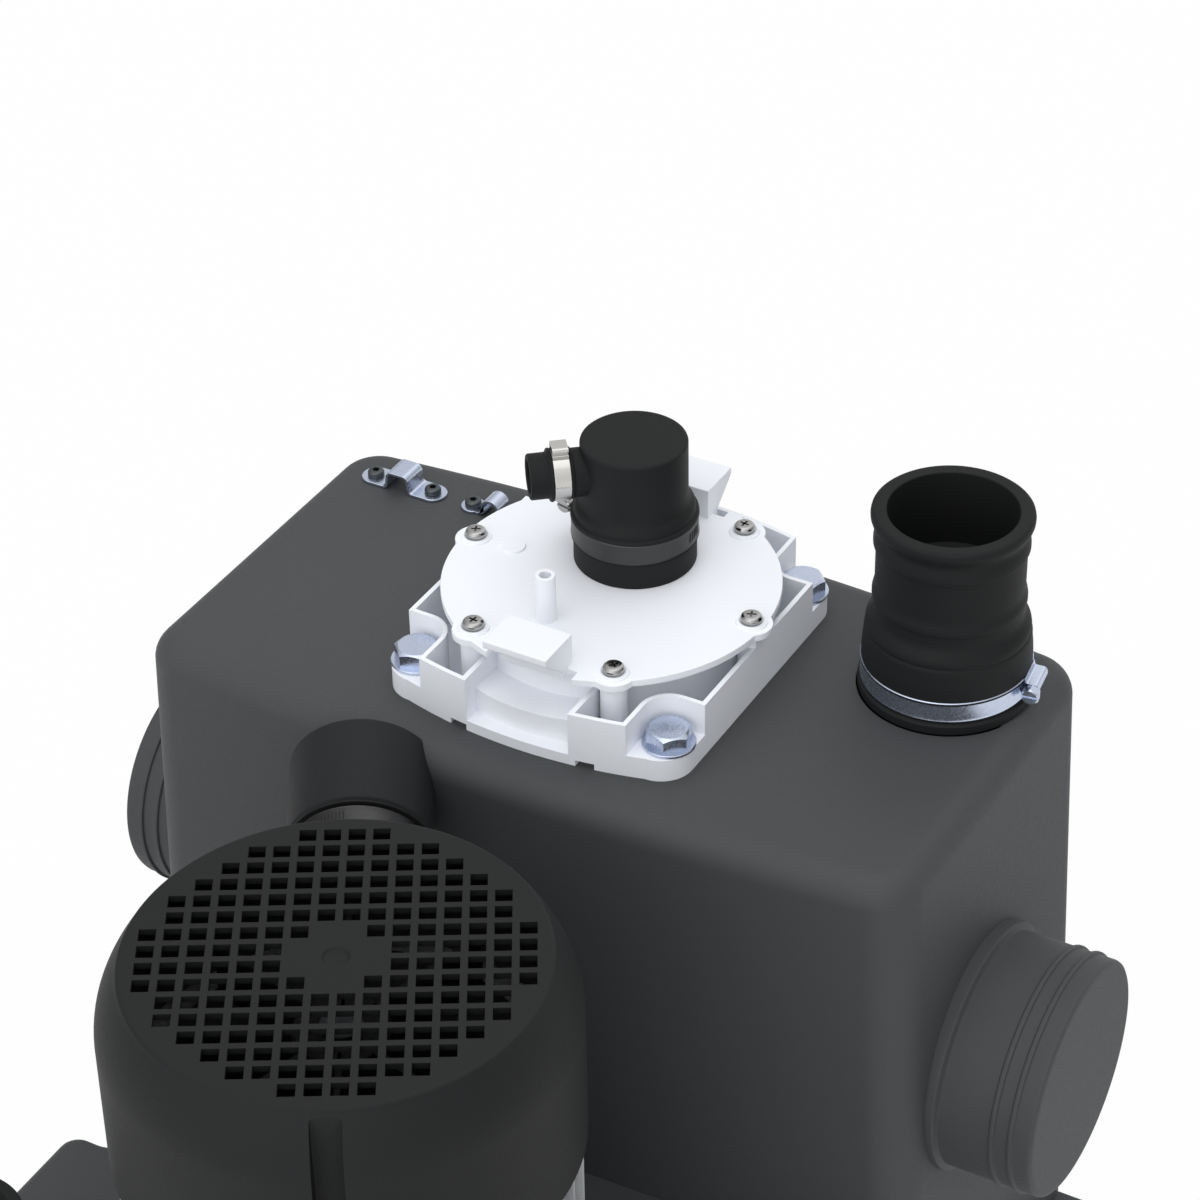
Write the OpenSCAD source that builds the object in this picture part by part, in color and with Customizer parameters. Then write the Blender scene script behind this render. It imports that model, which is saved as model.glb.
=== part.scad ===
// Macerator toilet pump: moulded collecting tank with an upright fan-cooled pump on its front deck.
// Units are millimetres. +Z is up, the floor is Z = 0, and -Y is the front.
// The origin is the middle of the footprint on the floor.

/* [Tank] */
// Middle of the tank to the right of the origin
tank_x = -7.6; // [-9:0.1:-6]
// Half width of the tank at the inlet height
tank_half_w = 196.7; // [192:0.1:200]
// Half width of the tank at its top
tank_top_half_w = 191.3; // [186:0.1:192]
// Height of the tank top above the floor
tank_h = 320; // [300:1:340]
// Front wall of the tank at its corners
tank_front_y = 46; // [42:1:50]
// Back wall of the tank at its corners
tank_back_y = 238.5; // [234:0.5:240]
// How far the front and back walls bow outward in the middle
tank_bow = 9; // [5:0.5:10]
// Radius of the upright corners
tank_corner_r = 21; // [18:1:26]
// Radius of the rounded top edge
tank_edge_r = 13; // [10:1:18]
// Wall of the moulding
tank_wall = 5; // [4:0.5:6]
// Radius of the opening under the level sensor
sensor_hole_r = 56; // [50:1:58]

/* [Side inlets] */
// Height of the inlet axis above the floor
inlet_z = 180; // [170:1:190]
// Inlet axis along the depth
inlet_y = 126; // [120:1:130]
// Outside radius of an inlet
inlet_r = 55; // [52:0.5:57]
// Distance from the middle of the tank to an inlet's closed end
inlet_end_x = 237.8; // [232:0.1:245]
// Radius of the lip round the inlet's root
inlet_lip_r = 58.2; // [57.4:0.1:60]
// Height of the sawing ridges on an inlet
inlet_ridge_h = 1.2; // [0.8:0.1:1.6]
// Width of one sawing ridge
inlet_ridge_w = 2.6; // [2:0.1:3.2]

/* [Deck] */
// Height of the pump deck
deck_h = 105; // [100:1:110]
// Left side of the deck, from the origin
deck_left_x = 190; // [186:0.5:191]
// Right side of the deck, from the origin
deck_right_x = 192; // [190:0.5:193]
// Back edge of the deck's left wing
deck_back_y = -51.5; // [-58:0.5:-50]
// Front edge of the deck
deck_front_y = -247.5; // [-249:0.5:-244]
// Left side of the neck that joins the deck to the tank
neck_left_x = 157; // [150:1:160]
// Radius of the hollow corner between the deck and the neck
neck_fillet_r = 18; // [12:1:20]
// Radius of the deck's edges
deck_r = 10; // [6:1:12]
// Length of a floor lug beside the tank
lug_len = 26; // [22:1:30]
// Radius of a floor lug's hole
lug_hole_r = 4.5; // [3.5:0.5:5.5]

/* [Top vent] */
// Vent axis to the right of the middle
vent_x = 135.8; // [130:0.1:140]
// Vent axis along the depth
vent_y = 190.9; // [186:0.1:194]
// Radius of the pipe that the sleeve takes
vent_bore_r = 25; // [22:0.5:27]
// Outside radius of the moulded vent stub
vent_stub_r = 31; // [30:0.5:32]
// Height of the moulded vent stub
vent_stub_h = 28; // [24:1:32]
// Height of the rubber sleeve
vent_h = 92.3; // [88:0.1:96]
// Outside radius of the sleeve's foot
vent_foot_r = 39; // [37.5:0.5:40]
// Outside radius of the sleeve's neck
vent_neck_r = 33; // [31.5:0.5:34]

/* [Level sensor cover] */
// Middle of the cover, across
cover_x = -7.5; // [-12:0.5:-4]
// Middle of the cover, along the depth
cover_y = 145.5; // [142:0.5:149]
// Half width of the cover frame
frame_half_w = 74.4; // [74:0.1:76]
// Half depth of the cover frame at its corners
frame_half_d = 78; // [77:0.5:80]
// How far the frame's front and back bow outward
frame_bow = 8; // [6:0.5:9]
// Height of the skirt
frame_h = 27; // [25:0.5:29]
// Thickness of the skirt
frame_wall = 2.2; // [2:0.1:3.5]
// Thickness of the frame's floor
frame_floor = 3; // [2:0.5:3.5]
// Height of the corner pads under the bolts
pad_h = 11; // [9:0.5:12]
// Distance of a bolt from the middle, both ways
bolt_off = 63.4; // [62:0.1:64]
// Radius of a bolt's shank
bolt_r = 5; // [4:0.5:6]
// Across the flats of a bolt's head
bolt_af = 18; // [15:0.5:19]
// Height of a bolt's head
bolt_head_h = 7; // [6:0.5:8]
// Radius of a washer
washer_r = 11.8; // [11:0.1:12.2]
// Thickness of a washer
washer_t = 1.6; // [1:0.1:2.2]
// Radius of the disc lid
lid_r = 76; // [75:0.5:78]
// Thickness of the disc lid
lid_t = 3.5; // [3:0.5:4.5]
// Height of the lid's underside above the tank
lid_z = 33; // [32:0.5:35]
// Radius of the circle of lid screws
lid_screw_ring = 70; // [68:0.5:71]
// Radius of a lid screw's head
lid_screw_head_r = 4.9; // [4.3:0.1:5.2]
// Height of the grip lugs above the lid
lid_grip_h = 15; // [12:0.5:17]
// Radius of the lid's centre boss
lid_boss_r = 22; // [20:0.5:23]
// Distance of the boss behind the lid's centre
lid_boss_off = 22; // [20:0.5:24]
// Outside radius of the lid's upright hose nozzle
hose_nozzle_r = 4.6; // [4.2:0.1:5]
// Bore of the lid's upright hose nozzle, as a radius
hose_bore_r = 2.6; // [2:0.1:3]
// Height of the lid's upright hose nozzle
hose_nozzle_h = 23.5; // [18:0.5:26]
// Half width of a grip lug
grip_half_w = 15.7; // [14:0.1:17]
// Width of the notches in the lid's front and back edge
lid_notch_w = 42; // [38:0.5:44]

/* [Float] */
// Radius of the float
float_r = 22; // [18:0.5:23]
// Length of the float
float_h = 60; // [50:1:64]
// Depth of the float arm's hinge below the tank top
float_drop = 36; // [34:1:40]
// Length of the float arm
float_reach = 60; // [50:1:64]
// Distance of the hinge in front of the lid's centre
float_hinge_off = 39; // [38:0.5:40]
// Width of the float arm
float_arm_w = 17; // [14:0.5:17.5]

/* [Rubber cap] */
// Height of the cap
cap_h = 61.4; // [58:0.1:64]
// Outside radius of the cap's head
cap_head_r = 24; // [23:0.5:25]
// Outside radius of the cap's skirt
cap_skirt_r = 27.7; // [26.8:0.1:28.6]
// Radius of the side nozzle
nozzle_r = 11; // [9:0.5:12]
// Distance of the nozzle's axis below the top of the cap
nozzle_drop = 14.1; // [13.6:0.1:15]
// Length of the nozzle from the cap's axis
nozzle_len = 47.3; // [44:0.1:50]
// Turn of the nozzle from straight left towards the front, degrees
nozzle_turn = 39; // [30:1:50]

/* [Motor] */
// Motor axis to the right of the middle
motor_x = 20.1; // [16:0.1:24]
// Motor axis along the depth
motor_y = -123.4; // [-126:0.1:-121]
// Turn of the motor unit about its axis, degrees
motor_turn = 30; // [26:1:34]
// Top of the fan cowl above the floor
cowl_top_z = 353; // [348:1:358]
// Height of the fan cowl
cowl_h = 90.5; // [80:0.5:92]
// Outside radius of the fan cowl
cowl_r = 96.7; // [94:0.1:98]
// Radius of the grille plate
grille_r = 86.3; // [84:0.1:88]
// Height of the cowl's sloping shoulder
cowl_shoulder_h = 31; // [26:1:36]
// Wall of the cowl
cowl_wall = 3; // [2:0.5:3.5]
// Pitch of the square grille
grille_pitch = 10; // [9.5:0.1:10.4]
// Side of a grille hole
grille_hole = 7; // [6:0.2:7.6]
// Width of the channel down the cowl
channel_w = 12.5; // [9:0.5:13]
// Depth of the channel
channel_d = 9.5; // [8:0.5:10]
// Outside radius over the cooling fins
fin_r = 94.5; // [92:0.5:95]
// Radius of the housing between the fins
housing_r = 78; // [76:0.5:80]
// Number of cooling fins
fin_n = 44; // [36:1:48]
// Thickness of a fin
fin_t = 3; // [2:0.25:3.5]
// Radius of the bore for the stator
stator_r = 70; // [68:0.5:71]
// Height of the stator
stator_h = 66; // [56:1:68]
// Radius of the bore through the stator
stator_bore_r = 45; // [42:0.5:46]
// Clearance between rotor and stator
air_gap = 0.6; // [0.4:0.1:1]
// Radius of the shaft
shaft_r = 9; // [8:0.5:10]
// Outside radius of a bearing
bearing_r = 20; // [18:0.5:22]
// Width of a bearing
bearing_w = 12; // [10:0.5:13]
// Outside radius of the fan
fan_r = 78; // [72:1:82]
// Number of fan blades
fan_n = 8; // [6:1:10]

/* [Pump] */
// Height of the pump casing
casing_h = 43; // [41:1:46]
// Outside radius of the pump casing
casing_r = 90; // [88:1:91]
// Radius of the impeller
impeller_r = 56; // [50:1:58]
// Number of impeller vanes
vane_n = 6; // [4:1:8]
// Radius of the suction eye
eye_r = 27; // [24:1:30]
// Outside radius of the cutter ring
cutter_ring_r = 46; // [42:1:48]
// Number of cutter arms
cutter_n = 3; // [3:1:5]
// Radius of the discharge pipe bore
outlet_r = 14; // [12:0.5:15]
// Radius of the casing vent riser
riser_r = 12; // [10:0.5:12.5]
// Radius of the moulded stub that takes the riser
stub_r = 32; // [31:0.5:33]
// Depth of the middle of the stub's rim below the tank top
stub_drop = 26.5; // [26:0.5:29]
// Distance from the motor axis to the stub's rim
stub_run = 141; // [139:0.5:143]
// Fall of the stub towards the pump, degrees
stub_fall = 12; // [10:1:14]

/* [Discharge] */
// Distance from the motor axis to the discharge line, towards the front
outlet_off = 58; // [56:1:60]
// Distance from the motor axis to the upright discharge sleeve, to the left
outlet_run = 166; // [162:1:170]
// Height of the discharge sleeve's rim above the deck
outlet_rise = 77; // [76:1:83]
// Outside radius of the discharge sleeve
outlet_sleeve_r = 29; // [27:0.5:30]

/* [Hidden] */

// Number of sides on round pieces, well above the count that is taken as a polygon
$fn = 72;
// Overlap that makes a cut pass cleanly through a face
eps = 0.5;
// Rest clearance between pieces that only lie near each other
rest_gap = 0.3;
// Clearance all round a running fit
run_gap = 0.05;

// Tank
inlet_w_top = tank_half_w - tank_top_half_w;
tank_floor_half_w = tank_half_w + inlet_w_top * inlet_z / (tank_h - inlet_z);
tank_mid_y = (tank_front_y + tank_back_y) / 2;
lug_t = 8;
lug_w = 30;
lug_places = [tank_front_y + 34, tank_back_y - 30];
stub_inner = 46;
stub_z = tank_h - stub_drop;
inlet_edge = 2;
ridge_places = [19.8, 11.1];
neck_overlap = 15;

// Cover
cover_top_z = tank_h + lid_z + lid_t;
boss_y = cover_y + lid_boss_off;
ring_in = sensor_hole_r + 5;
ring_out = ring_in + frame_wall;
seal_t = 2.5;
post_r = 6;
pocket_r = washer_r + 0.2;
pocket_wall = 2.1;
screw_r = 2.5;
lid_screw_head_h = 3.6;
lid_screw_len = 14;
lid_boss_h = 24;
washer_z = tank_h + pad_h;

// Motor heights, from the deck up
casing_z = deck_h;
outlet_rim_z = deck_h + outlet_rise;
casing_top_z = casing_z + casing_h;
casing_plate = 8;
shield_t = 16;
shield_z = casing_top_z;
housing_z = shield_z + shield_t;
cowl_z = cowl_top_z - cowl_h;
housing_top_z = cowl_z + 4;
upper_shield_t = 12;
stator_z = housing_z + (housing_top_z - housing_z - stator_h) / 2;
fan_z = housing_top_z + upper_shield_t + 8;
fan_hub_h = 30;
fan_plate_t = 3;
shaft_top_z = fan_z + fan_hub_h + 2;
impeller_z = casing_z + casing_plate + 5;
impeller_h = 18;
cutter_ring_t = 8;
cutter_ring_z = deck_h - cutter_ring_t;
cutter_z = cutter_ring_z - 10;
shaft_low_z = cutter_z - 4;
seal_h = 10;
seal_z = casing_top_z - seal_h;
seal_r = shaft_r + 9;
casing_bolt_ring = casing_r - 6;
casing_bolt_r = 4;
pipe_wall = 5;
outlet_z = casing_z + outlet_r + pipe_wall + 4;
riser_knuckle = 1.5;
riser_y = cowl_r + riser_r + riser_knuckle + 2 * rest_gap;
riser_wall = 3;
riser_seat = 15;
riser_band_w = 10;
sleeve_len = riser_band_w + 2;
sleeve_r = stub_r - 3.5;
rubber_wall = 6;
flap_z = outlet_z + outlet_r + 7;
discharge_band_w = 8.6;
clip_y = 211.5;
clip_x = -174.6;
clip_pitch = 32;
p_clip_off = 54.5;
clip_plate_t = 1.6;
saddle_half_w = 7;
saddle_arch_r = 6.6;
saddle_arch_z = 4;
pin_r = 3;
float_arm_t = 10;
float_low_turn = 35;
bracket_leg_w = 6;
bracket_leg_x = float_arm_w / 2 + 0.5;
bracket_hole_r = hose_bore_r + 0.8;
hose_x = -10.5;
hose_y = -39.5;
blister_x = -51;

// Places a child at the motor axis, turned with the motor unit
module at_motor() {
    translate([motor_x, motor_y, 0]) rotate([0, 0, motor_turn]) children();
}

// Places a child at the middle of the stub's rim, with +Z pointing out of the tank towards the pump
module at_stub() {
    at_motor() translate([0, stub_run, stub_z]) rotate([90 + stub_fall, 0, 0]) children();
}

// Places a child at the middle of the cover on the tank top
module at_cover() {
    translate([cover_x, cover_y, tank_h]) children();
}

// A disc with a hole, standing on z
module ring(r_out, r_in, h, z = 0) {
    translate([0, 0, z]) difference() {
        cylinder(r = r_out, h = h);
        translate([0, 0, -eps]) cylinder(r = r_in, h = h + 2 * eps);
    }
}

// A rectangle with round corners, centred
module round_rect(half_w, half_d, r) {
    square([2 * half_w - 2 * r, 2 * half_d], center = true);
    square([2 * half_w, 2 * half_d - 2 * r], center = true);
    for (sx = [-1, 1], sy = [-1, 1]) {
        translate([sx * (half_w - r), sy * (half_d - r)]) circle(r = r);
    }
}

// Half of the tank's width at a height above the floor
function tank_w_at(z) = tank_half_w + (inlet_z - z) * inlet_w_top / (tank_h - inlet_z);

// Rounded rectangle drawn in by inset, whose front and back are shallow arcs that rise by bow
module bowed_rect(half_w, half_d, corner_r, bow, inset, arc_n) {
    r = max(corner_r - inset, 1.5);
    hw = half_w - inset;
    hd = half_d - inset;
    bow_half = half_w - corner_r;
    bow_r = (bow_half * bow_half + bow * bow) / (2 * bow);
    intersection() {
        square([2 * (hw - r), 4 * hd], center = true);
        translate([0, hd + bow - bow_r]) circle(r = bow_r, $fn = arc_n);
        translate([0, -hd - bow + bow_r]) circle(r = bow_r, $fn = arc_n);
    }
    for (sx = [-1, 1], sy = [-1, 1]) {
        translate([sx * (hw - r), sy * (hd - r)]) circle(r = r, $fn = 32);
    }
    square([2 * hw, 2 * hd - 2 * r], center = true);
}

// Plan of the tank at one height
module tank_plan(half_w, inset) {
    translate([tank_x, tank_mid_y])
        bowed_rect(half_w, (tank_back_y - tank_front_y) / 2, tank_corner_r, tank_bow, inset, 300);
}

// Solid form of the tank, drawn in by inset, from z_low to its rounded top edge
module tank_form(inset, z_low) {
    edge_r = tank_edge_r - inset / 2;
    top = tank_h - inset;
    hull() {
        translate([0, 0, z_low]) linear_extrude(0.01) tank_plan(tank_w_at(z_low), inset);
        for (a = [0 : 30 : 90]) {
            z = top - edge_r * (1 - sin(a)) - (a == 90 ? 0.01 : 0);
            translate([0, 0, z]) linear_extrude(0.01)
                tank_plan(tank_w_at(z), inset + edge_r * (1 - cos(a)));
        }
    }
}

// Solid form of the deck, drawn in by inset
module deck_form(inset, z_low) {
    half_w = (deck_left_x + deck_right_x) / 2;
    half_d = (deck_back_y - deck_front_y) / 2;
    translate([(deck_right_x - deck_left_x) / 2, (deck_back_y + deck_front_y) / 2, 0]) hull() {
        translate([0, 0, z_low]) linear_extrude(0.01)
            round_rect(half_w - inset, half_d - inset, deck_r, $fn = 24);
        for (a = [0 : 30 : 90]) {
            draw = inset + deck_r / 2 * (1 - cos(a));
            translate([0, 0, deck_h - inset - deck_r / 2 * (1 - sin(a)) - (a == 90 ? 0.01 : 0)])
                linear_extrude(0.01) round_rect(half_w - draw, half_d - draw, deck_r, $fn = 24);
        }
    }
}

// Block of the neck between the deck and the tank
module neck_form(inset) {
    translate([-neck_left_x + inset, deck_back_y - neck_overlap, inset])
        cube([neck_left_x + deck_right_x - 2 * inset,
              tank_front_y - deck_back_y + 2 * neck_overlap, deck_h - 2 * inset]);
}

// Hollow corner between the deck's left wing and the neck
module neck_fillet() {
    translate([-neck_left_x - neck_fillet_r, deck_back_y - deck_r, 0]) difference() {
        cube([neck_fillet_r + eps, neck_fillet_r + deck_r, deck_h]);
        translate([0, neck_fillet_r + deck_r, -eps]) cylinder(r = neck_fillet_r, h = deck_h + 2 * eps);
    }
}

// Distance from the origin to the tank's wall at an inlet
function inlet_wall_x(side) = tank_half_w + side * tank_x;

// Outside of a side inlet: closed stub with a bevelled end, root lip and sawing ridges
module inlet_outside(side) {
    wall_x = inlet_wall_x(side);
    translate([0, inlet_y, inlet_z]) rotate([0, side * 90, 0]) {
        translate([0, 0, wall_x - 20]) cylinder(r = inlet_r, h = inlet_end_x - wall_x + 20 - inlet_edge);
        translate([0, 0, inlet_end_x - inlet_edge])
            cylinder(r1 = inlet_r, r2 = inlet_r - inlet_edge, h = inlet_edge);
        translate([0, 0, wall_x - 12]) cylinder(r = inlet_lip_r, h = 17);
        for (k = ridge_places) {
            translate([0, 0, inlet_end_x - k]) cylinder(r = inlet_r + inlet_ridge_h, h = inlet_ridge_w);
        }
    }
}

module tank_body() {
    color("dimgray") difference() {
        union() {
            tank_form(0, 0);
            deck_form(0, 0);
            neck_form(0);
            neck_fillet();
            for (side = [-1, 1]) inlet_outside(side);
            translate([vent_x, vent_y, tank_h - tank_wall])
                cylinder(r = vent_stub_r, h = vent_stub_h + tank_wall);
            translate([vent_x, vent_y, tank_h - tank_edge_r - 4])
                cylinder(r = vent_foot_r + 0.5, h = tank_edge_r + 4);
            at_stub() translate([0, 0, -stub_inner]) cylinder(r = stub_r, h = stub_inner);
            for (side = [-1, 1], ly = lug_places) {
                translate([tank_x + side * (tank_floor_half_w - 6), ly - lug_w / 2, 0])
                    mirror([side < 0 ? 1 : 0, 0, 0]) cube([lug_len + 6, lug_w, lug_t]);
            }
        }
        tank_form(tank_wall, tank_wall);
        deck_form(tank_wall, tank_wall);
        neck_form(tank_wall);
        for (side = [-1, 1]) {
            translate([0, inlet_y, inlet_z]) rotate([0, side * 90, 0])
                translate([0, 0, inlet_wall_x(side) - 22])
                cylinder(r = inlet_r - tank_wall, h = inlet_end_x - inlet_wall_x(side) + 22 - tank_wall);
        }
        translate([vent_x, vent_y, tank_h - tank_wall - eps])
            cylinder(r = vent_bore_r, h = vent_stub_h + tank_wall + 2 * eps);
        translate([cover_x, cover_y, tank_h - tank_wall - eps])
            cylinder(r = sensor_hole_r, h = tank_wall + 2 * eps);
        for (sx = [-1, 1], sy = [-1, 1]) {
            translate([cover_x + sx * bolt_off, cover_y + sy * bolt_off, tank_h - tank_wall - eps])
                cylinder(r = bolt_r + run_gap, h = tank_wall + 2 * eps);
        }
        at_stub() translate([0, 0, -stub_inner - 8]) cylinder(r = riser_r + run_gap, h = stub_inner + 9);
        at_motor() {
            translate([0, 0, deck_h - tank_wall - eps])
                cylinder(r = cutter_ring_r + run_gap, h = tank_wall + 2 * eps);
            for (a = [45 : 90 : 315]) {
                rotate([0, 0, a]) translate([casing_bolt_ring, 0, deck_h - tank_wall - eps])
                    cylinder(r = casing_bolt_r + run_gap, h = tank_wall + 2 * eps);
            }
        }
        for (k = [0, 1]) {
            translate([clip_x + k * clip_pitch, clip_y, tank_h - tank_wall - eps])
                cylinder(r = 2 + run_gap, h = tank_wall + 2 * eps);
        }
        translate([clip_x + p_clip_off, clip_y, tank_h - tank_wall - eps])
            cylinder(r = 2 + run_gap, h = tank_wall + 2 * eps);
        for (side = [-1, 1], ly = lug_places) {
            translate([tank_x + side * (tank_floor_half_w + lug_len / 2), ly, -eps])
                cylinder(r = lug_hole_r, h = lug_t + 2 * eps);
        }
    }
}

// Rubber sleeve on the vent stub: wide foot, waist, two rolls and a round rim
module vent_sleeve() {
    inner = vent_stub_r + run_gap;
    translate([vent_x, vent_y, tank_h]) color("#232425") rotate_extrude() polygon([
        [inner, 0], [vent_foot_r, 0], [vent_foot_r, 5], [vent_foot_r - 1.8, 6], [vent_foot_r - 1.8, 18],
        [vent_foot_r - 0.5, 19], [vent_foot_r - 0.8, 34], [vent_neck_r + 1, 40], [vent_neck_r, 52],
        [vent_neck_r + 0.9, 55], [vent_neck_r + 0.9, 59], [vent_neck_r, 62], [vent_neck_r, 74],
        [vent_neck_r + 0.9, 77], [vent_neck_r + 0.6, 82], [vent_neck_r + 2.4, 86],
        [vent_neck_r + 2.4, vent_h - 2], [vent_neck_r, vent_h], [vent_bore_r + 3.5, vent_h],
        [vent_bore_r + 0.5, vent_h - 12], [vent_bore_r + 0.5, vent_stub_h + 8],
        [vent_bore_r + 0.5, vent_stub_h + rest_gap], [inner, vent_stub_h + rest_gap]
    ]);
}

worm_r = 2.5;
worm_off = 4.4;
worm_house_w = 12;
worm_house_h = 7;

// Flat worm-drive band whose screw housing points along +X, bored for the worm
module worm_band(r, w, t, housing_w, housing_h) {
    difference() {
        union() {
            cylinder(r = r + t, h = w);
            translate([r - 1, -housing_w / 2, 0]) cube([housing_h + 1, housing_w, w]);
        }
        translate([0, 0, -eps]) cylinder(r = r + run_gap, h = w + 2 * eps);
        translate([r + worm_off, r, w / 2]) rotate([90, 0, 0]) cylinder(r = worm_r + run_gap, h = 2 * r);
    }
}

// Worm screw lying along -Y, with a hexagon head
module worm_screw(len) {
    rotate([90, 0, 0]) {
        cylinder(r = worm_r, h = len);
        translate([0, 0, len]) cylinder(r = worm_r * 1.7, h = 5, $fn = 6);
        translate([0, 0, len + 5]) cylinder(r = worm_r * 1.2, h = 1);
    }
}

vent_band_r = vent_foot_r - 1.8;
vent_band_z = tank_h + 6.5;
vent_band_w = 10;
vent_screw_turn = 8;

module vent_clamp() {
    color("lightsteelblue") translate([vent_x, vent_y, vent_band_z]) rotate([0, 0, vent_screw_turn])
        worm_band(vent_band_r, vent_band_w, band_t, worm_house_w + 3, worm_house_h);
}

module vent_clamp_screw() {
    color("silver") translate([vent_x, vent_y, vent_band_z + vent_band_w / 2]) rotate([0, 0, vent_screw_turn])
        translate([vent_band_r + worm_off, 8, 0]) worm_screw(17);
}

// Plan of the cover frame
module frame_plan(inset = 0) {
    bowed_rect(frame_half_w, frame_half_d, 15, frame_bow, inset, 144);
}

// Plan of one bolt pocket, grown by grow; it opens to the frame's corner
module pocket_plan(sx, sy, grow) {
    translate([sx * bolt_off, sy * bolt_off]) {
        circle(r = pocket_r + grow);
        mirror([sx < 0 ? 1 : 0, 0]) mirror([0, sy < 0 ? 1 : 0]) {
            translate([0, -pocket_r - grow]) square([40, 40 + pocket_r + grow]);
            translate([-pocket_r - grow, 0]) square([40 + pocket_r + grow, 40]);
        }
    }
}

recess_half_w = 25.5;
ledge_z = 5.3;
shelf_z = 17;
shelf_r = 79.8;
recess_y = -frame_half_d - frame_bow - 2;
notch_w = 8.6;
notch_places = [-30, 33];

// Space of the front recess above a height
module recess_space(z) {
    translate([-recess_half_w, recess_y, z]) cube([2 * recess_half_w, 40, frame_h]);
}

module cover_frame() {
    color("white") at_cover() difference() {
        union() {
            linear_extrude(frame_floor) frame_plan();
            linear_extrude(frame_h) difference() {
                frame_plan();
                frame_plan(frame_wall);
            }
            linear_extrude(frame_h) intersection() {
                frame_plan();
                union() for (sx = [-1, 1], sy = [-1, 1]) pocket_plan(sx, sy, pocket_wall);
            }
            ring(ring_out, ring_in, lid_z - seal_t);
            linear_extrude(lid_z) intersection() {
                frame_plan();
                union() for (a = [0 : 60 : 300]) rotate(a) translate([lid_screw_ring, 0]) circle(r = post_r);
            }
            linear_extrude(ledge_z) intersection() {
                frame_plan();
                translate([-recess_half_w - 2, recess_y]) square([2 * recess_half_w + 4, 40]);
            }
            linear_extrude(shelf_z) intersection() {
                circle(r = shelf_r);
                translate([-recess_half_w - 2, recess_y]) square([2 * recess_half_w + 4, 40]);
            }
            linear_extrude(frame_h) intersection() {
                frame_plan();
                union() for (sx = [-1, 1]) {
                    translate([sx * (recess_half_w + 1.2) - 1.2, recess_y]) square([2.4, 32]);
                }
            }
        }
        translate([0, 0, -eps]) cylinder(r = ring_in, h = frame_h * 2);
        translate([0, 0, pad_h]) linear_extrude(frame_h) {
            for (sx = [-1, 1], sy = [-1, 1]) pocket_plan(sx, sy, 0);
        }
        intersection() {
            recess_space(ledge_z);
            ring(frame_half_d + 30, shelf_r, frame_h);
        }
        intersection() {
            recess_space(shelf_z);
            ring(frame_half_d + 30, ring_out, frame_h * 2);
        }
        for (sx = [-1, 1], sy = [-1, 1]) {
            translate([sx * bolt_off, sy * bolt_off, -eps])
                cylinder(r = bolt_r + run_gap, h = pad_h + 2 * eps);
        }
        for (a = [0 : 60 : 300]) {
            rotate([0, 0, a]) translate([lid_screw_ring, 0, lid_z - 14]) cylinder(r = screw_r + run_gap, h = 15);
        }
        for (nx = notch_places) {
            translate([nx - notch_w / 2, recess_y, -eps]) cube([notch_w, 2 + frame_bow + frame_wall + 2, 3 + eps]);
        }
    }
}

ear_r = 9.6;
ear_boss_r = 7;

// Grip lug: overhanging wedge whose underside slopes inward
module grip_lug() {
    inner = lid_r - 14;
    outer = lid_r + 8.5;
    rotate([90, 0, 90]) translate([0, 0, -grip_half_w]) linear_extrude(2 * grip_half_w) polygon([
        [-inner, -lid_t], [-inner - 9, -lid_t], [-inner - 9, 0], [-outer, lid_grip_h - 3.5],
        [-outer, lid_grip_h], [-inner, lid_grip_h]
    ]);
}

module lid_disc() {
    color("white") at_cover() difference() {
        union() {
            translate([0, 0, lid_z]) {
                linear_extrude(lid_t) difference() {
                    union() {
                        circle(r = lid_r);
                        for (a = [0 : 60 : 300]) {
                            rotate(a) translate([lid_screw_ring, 0]) circle(r = ear_r);
                        }
                    }
                    for (sy = [-1, 1]) {
                        translate([-lid_notch_w / 2, sy * (lid_r - 4) - 5]) square([lid_notch_w, 10]);
                    }
                }
                translate([0, 0, -4]) ring(ring_in - rest_gap, ring_in - 3, 4 + eps);
                for (a = [0 : 60 : 300]) {
                    rotate([0, 0, a]) translate([lid_screw_ring, 0, 0]) cylinder(r = ear_boss_r, h = lid_t + 1);
                }
                translate([0, lid_boss_off, lid_t - eps]) cylinder(r = lid_boss_r, h = lid_boss_h + eps);
                translate([hose_x, hose_y, lid_t - eps]) cylinder(r = hose_nozzle_r, h = hose_nozzle_h + eps);
                translate([blister_x, 1, lid_t - eps]) cylinder(r = 5.5, h = 1.2 + eps);
            }
            translate([0, 0, lid_z + lid_t]) {
                grip_lug();
                rotate([0, 0, 180]) grip_lug();
            }
        }
        translate([hose_x, hose_y, lid_z - eps]) cylinder(r = hose_bore_r, h = 40);
        translate([0, lid_boss_off, lid_z - eps]) cylinder(r = lid_boss_r - 4, h = 40);
        for (a = [0 : 60 : 300]) {
            rotate([0, 0, a]) translate([lid_screw_ring, 0, lid_z - eps])
                cylinder(r = screw_r + run_gap, h = 20);
        }
    }
}

module lid_seal() {
    color("#303030") at_cover() ring(ring_out, ring_in, seal_t, lid_z - seal_t);
}

// Cross-recess pan head screw standing on z = 0
module pan_screw(head_r, head_h, shank_r, shank_len) {
    difference() {
        union() {
            cylinder(r = head_r, h = head_h * 0.55);
            translate([0, 0, head_h * 0.55]) cylinder(r1 = head_r, r2 = head_r * 0.6, h = head_h * 0.45, $fn = 48);
            translate([0, 0, -shank_len]) cylinder(r = shank_r, h = shank_len + eps);
        }
        for (a = [0, 90]) {
            rotate([0, 0, a]) translate([-head_r * 0.5, -0.5, head_h * 0.5]) cube([head_r, 1, head_h]);
        }
    }
}

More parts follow.
